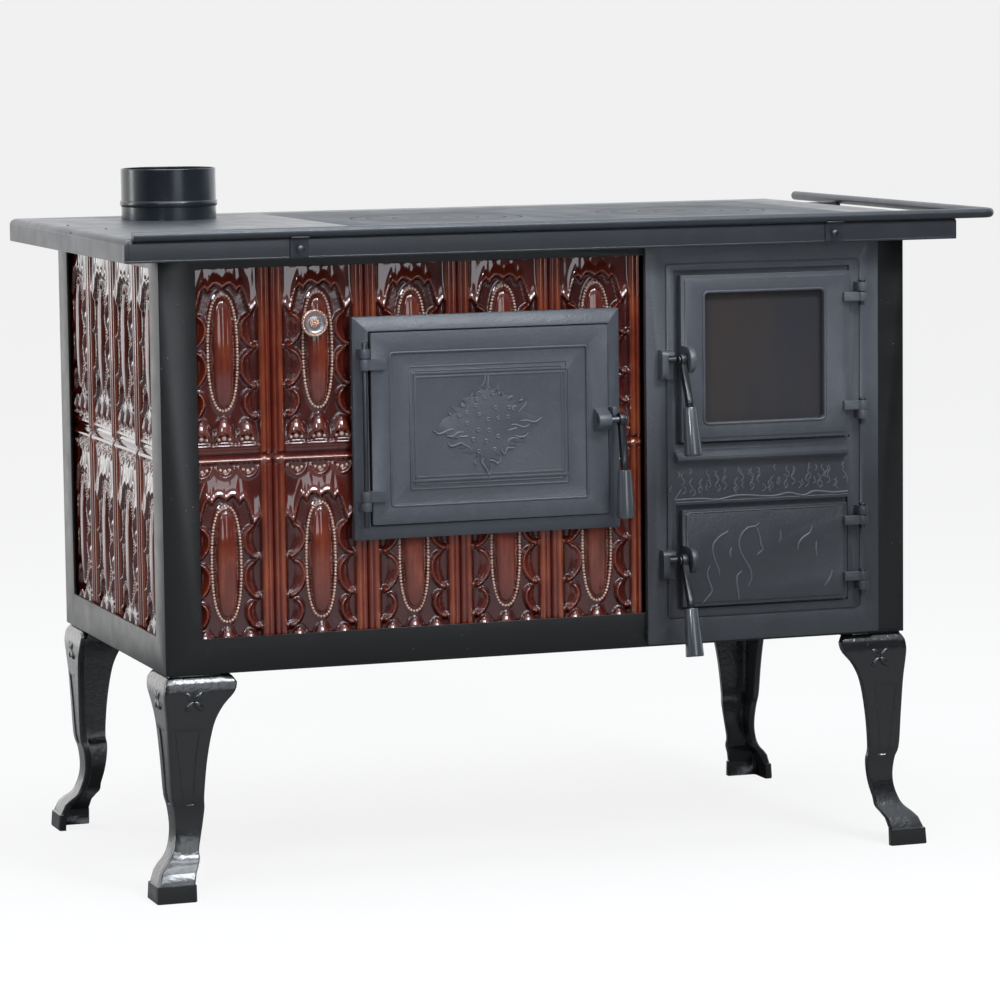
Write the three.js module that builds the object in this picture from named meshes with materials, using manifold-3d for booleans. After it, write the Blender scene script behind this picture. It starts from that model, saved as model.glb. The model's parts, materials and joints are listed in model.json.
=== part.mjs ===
// Wood cookstove: tiled body in an angle-iron frame, oven, glazed fire door, ash door,
// two ring plates, flue collar with a pull damper, guard rail and four cast cabriole legs.
// Millimetres, +Z up, front towards -Y. The design frame has its zero at the front left
// vertical edge of the body on the floor; the finished group stands on its box's bottom centre.

import * as THREE from "three";
import { mergeVertices } from "three/addons/utils/BufferGeometryUtils.js";
import Module from "manifold-3d";

const wasm = await Module();
wasm.setup();

// ---------------------------------------------------------------- driving dimensions
const fit = 0.3;              // gap between pieces that touch
const running = 0.45;         // radial clearance of a turning pin

const body = { width: 948, depth: 505, bottom: 267, top: 781.7 };
const angle = { leg: 45, wall: 4, bottomRail: 42, topRail: 36.7 };
const mullion = { inset: 0.5, width: 30 };
const sheet = 2;

const tray = { left: 51, right: 51, front: 46, back: 49, wall: 2.5, top: 3, skirt: 28.6, round: 8 };
const hobSize = { fromColumn: 17.2, fromFront: 17.1, fromRight: 20.6, edge: 3, seam: 0.5, body: 10, lip: 3, inset: 4 };
const ring = { radius: 107, ledge: 7, step: 6, behindMiddle: 12.5 };
const plug = { radius: 33, ledge: 6, slotLength: 16, slotWidth: 6, slotDepth: 2 };
const fluePipe = { fromLeft: 128.7, fromBack: 69, radius: 60, wall: 2, height: 64, bead: 20, beadOut: 1.8, beadHalf: 4.2, sleeve: 17 };
const ductSize = { left: 60, fromOven: 31.75, fromBack: 135, bottom: 330 };

const rail = { radius: 6, left: -42, out: 48, pastTray: 18, bend: 14, standoff: 10, standoffHigh: 6 };
const clip = { width: 22, wall: 1.8, xs: [147, 823] };

const tile = { height: 250, left: 21, gap: 2, rearGap: 6.8, bottom: 275, joint: 0.5, slab: 10, relief: 7.4 };
const tileRoll = { width: 9, inset: 1.6 };
const medallion = { halfWidth: 19, halfHeight: 78, slope: 4 };
const columns = 5;
const sideColumns = 4;

const ovenSize = { sideIn: 30.25, floorUp: 31, roofDown: 31, wall: 3, fromBack: 55 };
const ovenFrameSize = {
  height: 266, bottom: 417, border: 18, rise: 8, plate: 8, neck: 36, neckWall: 8, beforeColumn: 19.9, fromFront: 34,
};
const ovenLeafSize = { margin: 19, marginHigh: 18.75, thickness: 12, overlap: 16 };
const rack = { bar: 4, bars: 7, z: 470, inset: 1 };

const front = { fromRight: 38, width: 306, bottom: 270.5, top: 776, plate: 8 };
const field = { border: 24.5, bottom: 300, top: 735, grooveWidth: 2.2, grooveDepth: 2, radius: 6 };
const pocket = { depth: 5, gap: 6 };
const fireLeafSize = { left: 42.5, right: 41.5, bottom: 517, height: 203, thickness: 12, overlap: 9 };
const ashLeafSize = { left: 43.5, right: 44.5, bottom: 315, height: 119, thickness: 10, overlap: 9 };
const frame = { step: 5, rise: 1.6 };
const paneSize = { x: 30.5, right: 34.5, z: 23, above: 22, overlap: 6, thickness: 4, corner: 6 };
const retainer = { width: 11, thickness: 4 };
const lip = { bottom: 492, high: 16, out: 12 };

const hinge = { pin: 3, eye: 6.5, out: 12, strap: 6, lug: 11, gap: 1.2 };
const lever = { thick: 7, wide: 9, boss: 8.5, arm: 55, pin: 4, catchOut: 10, catchRadius: 3.5 };
const grip = { length: 57, top: 8.5, bottom: 11.5, bore: 5 };
const keeper = { width: 16, high: 37, out: 16, slot: 8 };

const ashBoxSize = { left: 24, right: 25, floor: 320, fromBack: 25 };
const drawer = { sideGap: 14, rearGap: 80.7, frontGap: 10, high: 84, wall: 1.5 };
const hearth = { bottom: 470, thick: 10 };
const grate = { width: 140, y: 95, rearGap: 95, bars: 9, ledge: 6 };
const brick = { thick: 36, top: 742 };

const damper = { z: 677.6, column: 1, offCentre: -7.5, rod: 4, knob: 16.5, knobDeep: 9, plateWide: 78, plateHigh: 76, window: 10 };

// what the driving dimensions lead to, from the outside in
const frontLeft = body.width - front.fromRight - front.width;
const pitch = (frontLeft - tile.gap - tile.left) / columns;
const columnX = (k) => tile.left + k * pitch;
const leafOf = (size) => ({ ...size, x: frontLeft + size.left, width: front.width - size.left - size.right });
const fireLeaf = leafOf(fireLeafSize);
const ashLeaf = leafOf(ashLeafSize);
const pane = {
  ...paneSize,
  width: fireLeaf.width - paneSize.x - paneSize.right,
  height: fireLeaf.height - paneSize.z - paneSize.above,
};
const ovenColumn = 2;
const ovenFrameX = columnX(ovenColumn) - ovenFrameSize.beforeColumn;
const ovenFrame = { ...ovenFrameSize, x: ovenFrameX, width: frontLeft - ovenFrameSize.fromFront - ovenFrameX };
const ovenLeaf = {
  ...ovenLeafSize,
  width: ovenFrame.width - 2 * ovenLeafSize.margin,
  height: ovenFrame.height - 2 * ovenLeafSize.marginHigh,
};
const oven = {
  ...ovenSize,
  x0: ovenFrame.x + ovenSize.sideIn,
  x1: ovenFrame.x + ovenFrame.width - ovenSize.sideIn,
  bottom: ovenFrame.bottom + ovenSize.floorUp,
  top: ovenFrame.bottom + ovenFrame.height - ovenSize.roofDown,
  back: body.depth - ovenSize.fromBack,
};
const hob = { ...hobSize, x: columnX(ovenColumn) + hobSize.fromColumn, y: hobSize.edge, depth: body.depth - 2 * hobSize.edge };
hob.left = frontLeft - hobSize.fromFront - hob.x;
hob.right = body.width - hobSize.fromRight - hob.x - hob.left - hobSize.seam;
const ringCentreY = body.depth / 2 + ring.behindMiddle;
const flue = { ...fluePipe, x: fluePipe.fromLeft, y: body.depth - fluePipe.fromBack };
const duct = { ...ductSize, right: oven.x0 - ductSize.fromOven, front: body.depth - ductSize.fromBack };
const ashBox = {
  floor: ashBoxSize.floor,
  left: frontLeft + ashBoxSize.left,
  right: frontLeft + front.width - ashBoxSize.right,
  back: body.depth - ashBoxSize.fromBack,
};

// leg outline from the top down: height, how far the corner edge stands out, reach of each face
const legTop = 266.7;
const legWall = 9;
const legPad = { reach: 68, thick: 7 };
const legStations = [
  [1.0, 0, 84], [0.955, 2, 86], [0.915, 3, 82], [0.855, 2, 68], [0.77, 0, 57], [0.62, -2, 49],
  [0.46, -4, 45], [0.4, -8, 46], [0.33, -10, 44], [0.27, -9, 41], [0.215, -5, 37.5],
  [0.178, 0, 37], [0.15, 8, 33], [0.125, 14, 29], [0.079, 18.5, 26], [0.075, 21, 27], [0.0, 22, 27],
];

// ---------------------------------------------------------------- materials
const finish = (color, roughness, metalness) => new THREE.MeshStandardMaterial({ color, roughness, metalness });
const blackPaint = finish(0x1c1c1e, 0.38, 0.3);
const castPaint = finish(0x50555c, 0.62, 0.35);
const trayPaint = finish(0x3a3f47, 0.45, 0.4);
const hobIron = finish(0x2c2e31, 0.7, 0.5);
const legEnamel = finish(0x111214, 0.16, 0.2);
const glaze = finish(0x6e2413, 0.14, 0.0);
const sheetSteel = finish(0x3b3d40, 0.5, 0.7);
const brightSteel = finish(0x8d9094, 0.35, 0.9);
const gripSteel = finish(0x17181a, 0.2, 0.5);
const copper = finish(0xb06a4e, 0.3, 0.9);
const chamotte = finish(0xc9a77c, 0.9, 0.0);
const ceramicGlass = finish(0x2a2522, 0.08, 0.0);
ceramicGlass.transparent = true;
ceramicGlass.opacity = 0.45;

// ---------------------------------------------------------------- geometry helpers
// One closed solid from a geometry: shared vertices merged, empty faces dropped, facing out.
function solid(geometry) {
  const bare = geometry.clone();
  bare.deleteAttribute("normal");
  bare.deleteAttribute("uv");
  const merged = mergeVertices(bare, 1e-4);
  const points = merged.getAttribute("position").array;
  const index = merged.getIndex().array;
  const faces = [];
  let volume = 0;
  for (let k = 0; k < index.length; k += 3) {
    const [a, b, c] = [index[k], index[k + 1], index[k + 2]];
    if (a === b || b === c || a === c) continue;
    faces.push([a, b, c]);
    const p = new THREE.Vector3().fromArray(points, 3 * a);
    const q = new THREE.Vector3().fromArray(points, 3 * b);
    const r = new THREE.Vector3().fromArray(points, 3 * c);
    volume += p.dot(q.cross(r));
  }
  const outward = volume > 0 ? faces : faces.map(([a, b, c]) => [a, c, b]);
  const triVerts = Uint32Array.from(outward.flat());
  return new wasm.Manifold(new wasm.Mesh({ numProp: 3, vertProperties: Float32Array.from(points), triVerts }));
}

const join = (first, ...others) => others.reduce((sum, next) => sum.add(next), first);
const cut = (base, ...tools) => tools.reduce((rest, tool) => rest.subtract(tool), base);

function geometryOf(manifold) {
  const mesh = manifold.getMesh();
  const geometry = new THREE.BufferGeometry();
  const points = new Float32Array(mesh.numVert * 3);
  for (let v = 0; v < mesh.numVert; v += 1) {
    for (let k = 0; k < 3; k += 1) points[3 * v + k] = mesh.vertProperties[mesh.numProp * v + k];
  }
  geometry.setAttribute("position", new THREE.BufferAttribute(points, 3));
  geometry.setIndex(new THREE.BufferAttribute(mesh.triVerts, 1));
  const flat = geometry.toNonIndexed();
  flat.computeVertexNormals();
  return flat;
}

// Box between two corners.
function block([x0, y0, z0], [x1, y1, z1]) {
  const geometry = new THREE.BoxGeometry(x1 - x0, y1 - y0, z1 - z0);
  return solid(geometry.translate((x0 + x1) / 2, (y0 + y1) / 2, (z0 + z1) / 2));
}

const X = new THREE.Vector3(1, 0, 0);
const Y = new THREE.Vector3(0, 1, 0);
const Z = new THREE.Vector3(0, 0, 1);
const planes = {
  x: new THREE.Matrix4().makeBasis(Y, Z, X),
  y: new THREE.Matrix4().makeBasis(X, Z, Y.clone().negate()),
  z: new THREE.Matrix4(),
};

// Prism of a shape along an axis: the outline is (y, z) for x, (x, z) for y and (x, y) for z.
function prism(axis, shape, from, to, segments = 8) {
  const depth = to - from;
  const geometry = new THREE.ExtrudeGeometry(shape, { depth, bevelEnabled: false, curveSegments: segments });
  geometry.applyMatrix4(planes[axis]);
  const start = axis === "y" ? to : from;
  return solid(geometry.translate(axis === "x" ? start : 0, axis === "y" ? start : 0, axis === "z" ? start : 0));
}

const outline = (points) => new THREE.Shape(points.map(([a, b]) => new THREE.Vector2(a, b)));

// Rectangle with round corners.
function roundRect(x0, y0, x1, y1, r, shape = new THREE.Shape()) {
  shape.moveTo(x0 + r, y0);
  shape.lineTo(x1 - r, y0);
  shape.absarc(x1 - r, y0 + r, r, -Math.PI / 2, 0, false);
  shape.lineTo(x1, y1 - r);
  shape.absarc(x1 - r, y1 - r, r, 0, Math.PI / 2, false);
  shape.lineTo(x0 + r, y1);
  shape.absarc(x0 + r, y1 - r, r, Math.PI / 2, Math.PI, false);
  shape.lineTo(x0, y0 + r);
  shape.absarc(x0 + r, y0 + r, r, Math.PI, 1.5 * Math.PI, false);
  return shape;
}

// Circle that a true cylinder of the radius fits inside (hole) or that fits inside one (rod).
const holeRadius = (radius, sides) => radius / Math.cos(Math.PI / sides);

function cylinder(axis, [x, y, z], radius, length, sides = 16, endRadius = radius) {
  const geometry = new THREE.CylinderGeometry(endRadius, radius, length, sides);
  geometry.translate(0, length / 2, 0);
  if (axis === "z") geometry.rotateX(Math.PI / 2);
  if (axis === "x") geometry.rotateZ(-Math.PI / 2);
  return solid(geometry.translate(x, y, z));
}

// Turned piece about a vertical axis from (radius, height) points that close on themselves.
function turned(points, sides) {
  const profile = [...points, points[0]].map(([r, h]) => new THREE.Vector2(r, h));
  return solid(new THREE.LatheGeometry(profile, sides).rotateX(Math.PI / 2));
}

// Solid through rings of the same number of points, closed at both ends.
function loft(rings) {
  const count = rings[0].length;
  const points = rings.flat(2);
  const faces = [];
  for (let k = 0; k + 1 < rings.length; k += 1) {
    for (let i = 0; i < count; i += 1) {
      const [a, b] = [k * count + i, k * count + ((i + 1) % count)];
      faces.push(a, b, b + count, a, b + count, a + count);
    }
  }
  const last = (rings.length - 1) * count;
  const section = rings[0].map(([px, py]) => new THREE.Vector2(px, py));
  for (const [a, b, c] of THREE.ShapeUtils.triangulateShape(section, [])) {
    faces.push(c, b, a, last + a, last + b, last + c);
  }
  const geometry = new THREE.BufferGeometry();
  geometry.setAttribute("position", new THREE.Float32BufferAttribute(points, 3));
  geometry.setIndex(faces);
  return solid(geometry);
}

// Path whose steps fall on its own stations, for a bar with one tight bend.
class StationCurve extends THREE.Curve {
  constructor(stations) {
    super();
    this.stations = stations;
  }

  getUtoTmapping(u) {
    return u;
  }

  getPoint(t, target = new THREE.Vector3()) {
    const last = this.stations.length - 1;
    const k = Math.min(Math.floor(t * last), last - 1);
    return target.lerpVectors(this.stations[k], this.stations[k + 1], t * last - k);
  }
}

const assembly = new THREE.Group();

function place(name, manifold, material, parent = assembly, position = [0, 0, 0], rotation = [0, 0, 0]) {
  const mesh = new THREE.Mesh(geometryOf(manifold), material);
  mesh.name = name;
  mesh.position.set(...position);
  mesh.rotation.set(...rotation);
  parent.add(mesh);
  return mesh;
}

function groupAt(x, y, z, parent = assembly) {
  const made = new THREE.Group();
  made.position.set(x, y, z);
  parent.add(made);
  return made;
}

// ---------------------------------------------------------------- body: frame and sheets
const inner = {
  left: angle.wall + fit,
  right: body.width - angle.wall - fit,
  front: angle.wall + fit,
  back: body.depth - angle.wall - fit,
  floor: body.bottom + angle.wall + fit,
  ceiling: body.top - angle.wall - fit,
};

function angleFrame() {
  const { width, depth, bottom, top } = body;
  const { leg, wall, bottomRail, topRail } = angle;
  const outer = block([0, 0, bottom], [width, depth, top]);
  const hollow = block([wall, wall, bottom + wall], [width - wall, depth - wall, top - wall]);
  const low = bottom + bottomRail;
  const high = top - topRail;
  const throughY = block([leg, -1, low], [width - leg, depth + 1, high]);
  const throughX = block([-1, leg, low], [width + 1, depth - leg, high]);
  const throughZ = block([leg, leg, bottom - 1], [width - leg, depth - leg, top + 1]);
  const post = frontLeft + mullion.inset;
  const middle = block([post, 0, low - 1], [post + mullion.width, wall, high + 1]);
  const flueNotch = cylinder("z", [flue.x, flue.y, top - 2 * wall], flue.radius, 4 * wall, 24);
  return join(cut(outer, hollow, throughY, throughX, throughZ, flueNotch), middle);
}

place("angle_frame", angleFrame(), blackPaint);

const floorTop = inner.floor + sheet;
place("bottom_panel", block(
  [inner.left, inner.front, inner.floor],
  [inner.right, inner.back, floorTop],
), sheetSteel);
const backFace = inner.back - sheet;
place("back_panel", block(
  [inner.left, backFace, floorTop + fit],
  [inner.right, inner.back, inner.ceiling],
), sheetSteel);

// ---------------------------------------------------------------- glazed tiles
// One tile lying in the (u, v) plane, its relief standing towards +w, origin at its lower left.
function tileSolid(step) {
  const width = step - tile.joint;
  const height = tile.height - tile.joint;
  const slab = block([0, 0, 0], [width, height, tile.slab]);
  const peak = tile.slab + tile.relief;
  const { inset, width: roll } = tileRoll;
  const rim = (grow, w) => [
    [inset + grow, inset + grow, w],
    [width - inset - grow, inset + grow, w],
    [width - inset - grow, height - inset - grow, w],
    [inset + grow, height - inset - grow, w],
  ];
  const shoulder = roll / 3;
  const border = loft([rim(0, tile.slab - 1), rim(0, tile.slab), rim(shoulder, peak)]);
  const dish = loft([rim(roll, tile.slab), rim(roll - shoulder, peak + 0.1)]);
  const oval = (grow, w) => {
    const ring = [];
    const count = 14;
    for (let k = 0; k < count; k += 1) {
      const a = (2 * Math.PI * k) / count;
      const u = width / 2 + (medallion.halfWidth + grow) * Math.cos(a);
      ring.push([u, height / 2 + (medallion.halfHeight + grow) * Math.sin(a), w]);
    }
    return ring;
  };
  const boss = loft([oval(medallion.slope, tile.slab - 1), oval(medallion.slope, tile.slab), oval(0, peak - 1)]);
  return join(cut(join(slab, border), dish), boss);
}

const oneTile = tileSolid(pitch);
const tileFace = inner.front;
const tileBack = tileFace + tile.slab + tile.relief;
const tileMiddle = tile.bottom + tile.height;

// Tile turned upright with its relief towards the front, its lower left corner at (x, z).
const frontTile = (x, z) => oneTile.rotate([90, 0, 0]).translate([x, tileBack, z]);

const neck = {
  left: ovenFrame.x + (ovenFrame.width - ovenLeaf.width) / 2 + ovenLeaf.overlap - ovenFrame.neckWall,
  right: ovenFrame.x + (ovenFrame.width + ovenLeaf.width) / 2 - ovenLeaf.overlap + ovenFrame.neckWall,
  bottom: ovenFrame.bottom + ovenFrame.border + ovenLeaf.overlap - ovenFrame.neckWall,
  top: ovenFrame.bottom + ovenFrame.height - ovenFrame.border - ovenLeaf.overlap + ovenFrame.neckWall,
};
const neckClearance = 1;
const neckHole = block(
  [neck.left - neckClearance, -50, neck.bottom - neckClearance],
  [neck.right + neckClearance, 60, neck.top + neckClearance],
);
const damperX = columnX(damper.column) + (pitch - tile.joint) / 2 + damper.offCentre;
const rodBore = cylinder("y", [damperX, -20, damper.z], holeRadius(damper.rod + running, 12), 80, 12);

for (let k = 0; k < columns; k += 1) {
  const lower = frontTile(columnX(k), tile.bottom);
  const upper = frontTile(columnX(k), tileMiddle);
  const seam = block(
    [columnX(k), tileBack - tile.slab, tileMiddle - tile.joint - 0.1],
    [columnX(k) + pitch - tile.joint, tileBack, tileMiddle + 0.1],
  );
  const covered = columnX(k) > neck.left && columnX(k) + pitch < neck.right;
  if (covered) {
    place(`front_tile_${k + 1}_lower`, cut(lower, neckHole), glaze);
    place(`front_tile_${k + 1}_upper`, cut(upper, neckHole), glaze);
  } else {
    place(`front_tiles_${k + 1}`, cut(join(lower, upper, seam), neckHole, rodBore), glaze);
  }
}

// Side wall of tiles, relief towards -X before it is turned for the right side.
function sideTiles(step, width) {
  const single = tileSolid(step);
  let wall = block([0, 0, 0], [width, 2 * tile.height - tile.joint, tile.slab - 2]);
  for (let row = 0; row < 2; row += 1) {
    for (let k = 0; k < sideColumns; k += 1) wall = wall.add(single.translate([k * step, row * tile.height, 0]));
  }
  return wall;
}

const sideTileY = tileBack + fit;
const sideTileWidth = backFace - tile.rearGap - sideTileY;
const sidePitch = (sideTileWidth + tile.joint) / sideColumns;
const sideTileSolid = sideTiles(sidePitch, sideTileWidth);
place("left_tiles", sideTileSolid, glaze, assembly,
  [inner.left + tile.slab + tile.relief, sideTileY + sideTileWidth, tile.bottom],
  [Math.PI / 2, -Math.PI / 2, 0]);
place("right_tiles", sideTileSolid, glaze, assembly,
  [inner.right - tile.slab - tile.relief, sideTileY, tile.bottom],
  [Math.PI / 2, Math.PI / 2, 0]);

// ---------------------------------------------------------------- top: tray, hob, rings, flue
const top = body.top + fit + tray.top;
const trayBottom = top - tray.skirt;
const trayX = [-tray.left, body.width + tray.right];
const trayY = [-tray.front, body.depth + tray.back];
const hobEnd = hob.x + hob.left + hob.seam + hob.right;

function topTray() {
  const r = tray.round;
  const edge = (from, to) => {
    const shape = new THREE.Shape();
    shape.moveTo(from, trayBottom);
    shape.lineTo(to, trayBottom);
    shape.lineTo(to, top - r);
    shape.absarc(to - r, top - r, r, 0, Math.PI / 2, false);
    shape.lineTo(from + r, top);
    shape.absarc(from + r, top - r, r, Math.PI / 2, Math.PI, false);
    return shape;
  };
  const long = prism("y", edge(...trayX), trayY[0], trayY[1], 3);
  const across = prism("x", edge(...trayY), trayX[0], trayX[1], 3);
  const shell = long.intersect(across);
  const under = block(
    [trayX[0] + tray.wall, trayY[0] + tray.wall, trayBottom - 1],
    [trayX[1] - tray.wall, trayY[1] - tray.wall, top - tray.top],
  );
  const hobHole = block(
    [hob.x - fit, hob.y - fit, trayBottom - 1],
    [hobEnd + fit, hob.y + hob.depth + fit, top + 1],
  );
  const flueHole = cylinder("z", [flue.x, flue.y, trayBottom - 1], holeRadius(flue.radius - flue.wall + fit, 32), 60, 32);
  return cut(shell, under, hobHole, flueHole);
}

place("top_tray", topTray(), trayPaint);

const ringSides = 32;
const stepZ = top - ring.step;
const hobUnder = top - hob.body;

// One ring plate: a thin lip that lies on the frame and a thick middle with a stepped round hole.
function hobPlate(x, width) {
  const lipBox = block([0, hob.y, top - hob.lip], [width, hob.y + hob.depth, top]);
  const clearRight = body.width - angle.leg - fit - x;
  const thick = block(
    [hob.inset, angle.leg + fit, hobUnder],
    [Math.min(width - hob.inset, clearRight), body.depth - angle.leg - fit, top - 1],
  );
  const centre = [width / 2, ringCentreY];
  const upper = cylinder("z", [...centre, stepZ], holeRadius(ring.radius + fit, ringSides), 20, ringSides);
  const lower = cylinder("z", [...centre, hobUnder - 5], holeRadius(ring.radius - ring.ledge + fit, ringSides), 20, ringSides);
  return cut(join(lipBox, thick), upper, lower);
}

const ringSolid = turned([
  [ring.radius, stepZ + fit], [ring.radius, top],
  [plug.radius + fit, top], [plug.radius + fit, stepZ],
  [plug.radius - plug.ledge + fit, stepZ], [plug.radius - plug.ledge + fit, hobUnder],
  [ring.radius - ring.ledge, hobUnder], [ring.radius - ring.ledge, stepZ + fit],
], ringSides);

function plugSolid() {
  const lid = cylinder("z", [0, 0, stepZ + fit], plug.radius, ring.step - fit, 24);
  const stem = cylinder("z", [0, 0, hobUnder], plug.radius - plug.ledge, hob.body - 1, 24);
  const slot = roundRect(-plug.slotLength / 2, -plug.slotWidth / 2, plug.slotLength / 2, plug.slotWidth / 2, 2.9);
  return cut(join(lid, stem), prism("z", slot, top - plug.slotDepth, top + 1, 3));
}

const hobs = { left: hob.x, right: hobEnd - hob.right };
for (const [side, x] of Object.entries(hobs)) {
  const plate = groupAt(x, 0, 0);
  place(`hob_plate_${side}`, hobPlate(x, hob[side]), hobIron, plate);
  const seat = groupAt(hob[side] / 2, ringCentreY, 0, plate);
  place(`hob_ring_${side}`, ringSolid, hobIron, seat);
  place(`hob_plug_${side}`, plugSolid(), hobIron, seat);
}

const collarOut = flue.radius + flue.beadOut;
place("flue_collar", turned([
  [flue.radius, fit], [flue.radius, flue.bead - flue.beadHalf],
  [collarOut - 0.4, flue.bead - flue.beadHalf / 2], [collarOut, flue.bead],
  [collarOut - 0.4, flue.bead + flue.beadHalf / 2], [flue.radius, flue.bead + flue.beadHalf],
  [flue.radius, flue.height], [flue.radius - flue.wall, flue.height],
  [flue.radius - flue.wall, fit + flue.wall], [flue.radius - 2 * flue.wall, fit],
  [flue.radius - 2 * flue.wall, -flue.sleeve], [flue.radius - flue.wall - fit, -flue.sleeve],
  [flue.radius - flue.wall - fit, fit],
], 32), trayPaint, assembly, [flue.x, flue.y, top]);

// ---------------------------------------------------------------- guard rail and its clips
const edgeReach = tray.round + rail.radius + fit;
const railY = trayY[0] + tray.round - edgeReach * Math.SQRT1_2;
const railZ = top - tray.round + edgeReach * Math.SQRT1_2;
const railX = trayX[1] + rail.out;

function guardRail() {
  const stations = [new THREE.Vector3(rail.left, railY, railZ)];
  const turns = 5;
  for (let k = 0; k <= turns; k += 1) {
    const a = -Math.PI / 2 + (Math.PI / 2) * (k / turns);
    const x = railX - rail.bend + rail.bend * Math.cos(a);
    stations.push(new THREE.Vector3(x, railY + rail.bend + rail.bend * Math.sin(a), railZ));
  }
  stations.push(new THREE.Vector3(railX, trayY[1] + rail.pastTray, railZ));
  const section = outline(Array.from({ length: 10 }, (_, k) => {
    const a = (2 * Math.PI * (k + 0.5)) / 10;
    return [rail.radius * Math.cos(a), rail.radius * Math.sin(a)];
  }));
  const path = new StationCurve(stations);
  const steps = stations.length - 1;
  const bar = solid(new THREE.ExtrudeGeometry(section, { steps, extrudePath: path, bevelEnabled: false }));
  const standoff = (y) => block(
    [trayX[1] + fit, y - rail.standoff / 2, railZ - rail.radius - rail.standoffHigh / 2],
    [railX, y + rail.standoff / 2, railZ - rail.radius + rail.standoffHigh / 2],
  );
  const third = body.depth / 4;
  return join(bar, standoff(third), standoff(body.depth - third + angle.leg));
}

place("guard_rail", guardRail(), trayPaint);

// Strap on the skirt whose curled top carries the rail from below.
function railClip() {
  const face = trayY[0] - fit;
  const r0 = rail.radius + fit;
  const r1 = r0 + clip.wall;
  const cradle = new THREE.Shape();
  const [from, to] = [-0.76 * Math.PI, -0.4 * Math.PI];
  cradle.absarc(railY, railZ, r1, from, to, false);
  cradle.absarc(railY, railZ, r0, to, from, true);
  const flange = block([0, face - clip.wall, trayBottom + 2], [clip.width, face, railZ - r0 - 0.1]);
  const curl = prism("x", cradle, 0, clip.width, 6);
  const keepOut = block([-1, face, trayBottom - 10], [clip.width + 1, face + 30, top + 30]);
  return cut(join(flange, curl), keepOut);
}

clip.xs.forEach((x, k) => place(`rail_clip_${k + 1}`, railClip(), trayPaint, assembly, [x, 0, 0]));

// ---------------------------------------------------------------- cast legs
// L-section loft whose corner edge follows the cabriole line; turned about the body's corners.
function legSolid() {
  const curve = new THREE.CatmullRomCurve3(
    legStations.map(([h, out, reach]) => new THREE.Vector3(h * legTop, out, reach)), false, "centripetal");
  const rings = legStations.flatMap((station, k) => {
    const last = legStations.length - 1;
    const between = k < last && legStations[k][0] - legStations[k + 1][0] > 0.05 ? [0, 0.5] : [0];
    return between.map((step) => {
      const p = curve.getPoint(Math.min((k + step) / last, 1));
      const [o, reach, z] = [-p.y, p.z, p.x];
      const wall = o + legWall;
      const ease = 2.5;
      return [
        [o + ease, o, z], [reach, o, z], [reach, wall, z], [wall, wall, z],
        [wall, reach, z], [o, reach, z], [o, o + ease, z],
      ];
    });
  });
  const shell = loft(rings);
  const pad = block([legWall / 2, legWall / 2, legTop - legPad.thick], [legPad.reach, legPad.reach, legTop]);
  return join(shell, pad);
}

const legOne = legSolid();
const legPlaces = {
  leg_front_left: [0, 0, 0],
  leg_front_right: [body.width, 0, Math.PI / 2],
  leg_rear_right: [body.width, body.depth, Math.PI],
  leg_rear_left: [0, body.depth, -Math.PI / 2],
};
for (const [name, [x, y, turn]] of Object.entries(legPlaces)) {
  place(name, legOne, legEnamel, groupAt(x, y, 0), [0, 0, 0], [0, 0, turn]);
}

// ---------------------------------------------------------------- hinges and latches
// Hinge pieces about the axis at the local origin: an eye on the pin, the web that ties a lug's
// eye to the casting behind it, and the arm that ties a strap's eye to its leaf.
const hingeEye = (z0, z1) => cylinder("z", [0, 0, z0], hinge.eye, z1 - z0, 16);
const lugSolid = (z0, z1, back) => join(hingeEye(z0, z1), block([-hinge.eye, 0, z0], [hinge.eye, back, z1]));

function strapSolid(z0, z1, reach, back) {
  const arm = block([Math.min(0, reach), -hinge.strap / 2, z0], [Math.max(0, reach), back, z1]);
  return join(hingeEye(z0, z1), arm);
}

const pinHole = (z0, z1, radius) => cylinder("z", [0, 0, z0], holeRadius(radius + running, 12), z1 - z0, 12);

// Lever in the plane of its own turning: pivot at the local origin, arm down and out to the grip.
const radians = (degrees) => (degrees * Math.PI) / 180;
const armEnd = (armTilt) => [-lever.arm * Math.sin(radians(armTilt)), -lever.arm * Math.cos(radians(armTilt))];

function leverSolid(armTilt, gripTilt, catchLength) {
  const [ey, ez] = armEnd(armTilt);
  const boss = cylinder("x", [0, 0, 0], lever.boss, lever.thick, 16);
  const half = lever.wide / 2;
  const arm = block([0, -half, -lever.arm], [lever.thick, half, 0]).rotate([-armTilt, 0, 0]);
  const tang = cylinder("z", [lever.thick / 2, 0, -grip.length * 0.6], grip.bore - 1, grip.length * 0.6 + 6, 8);
  const tail = tang.rotate([-gripTilt, 0, 0]).translate([0, ey, ez]);
  const knee = cylinder("x", [0, ey, ez], half, lever.thick, 10);
  const nose = cylinder("x", [-catchLength, lever.catchOut, 0], lever.catchRadius, catchLength + 1, 10);
  const web = block([0, 0, -lever.catchRadius], [lever.thick, lever.catchOut, lever.catchRadius]);
  const bore = cylinder("x", [-20, 0, 0], holeRadius(lever.pin + running, 12), 60, 12);
  return cut(join(boss, arm, knee, tail, web, nose), bore);
}

function gripSolid() {
  const outer = cylinder("z", [0, 0, -grip.length - fit], grip.bottom, grip.length, 16, grip.top);
  const chamfer = 1.2;
  const end = cylinder("z", [0, 0, -grip.length - fit - chamfer], grip.bottom - chamfer, chamfer, 16, grip.bottom);
  const bore = cylinder("z", [0, 0, -grip.length * 0.6 - 2], holeRadius(grip.bore - 1 + fit, 8), 80, 8);
  return cut(join(outer, end), bore);
}

// Pivot pin along +X with a round head at one end.
function latchPin(length, headAt) {
  const shaft = cylinder("x", [0, 0, 0], lever.pin, length, 12);
  return join(shaft, cylinder("x", [headAt, 0, 0], lever.pin + 2, 2, 12));
}

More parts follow.
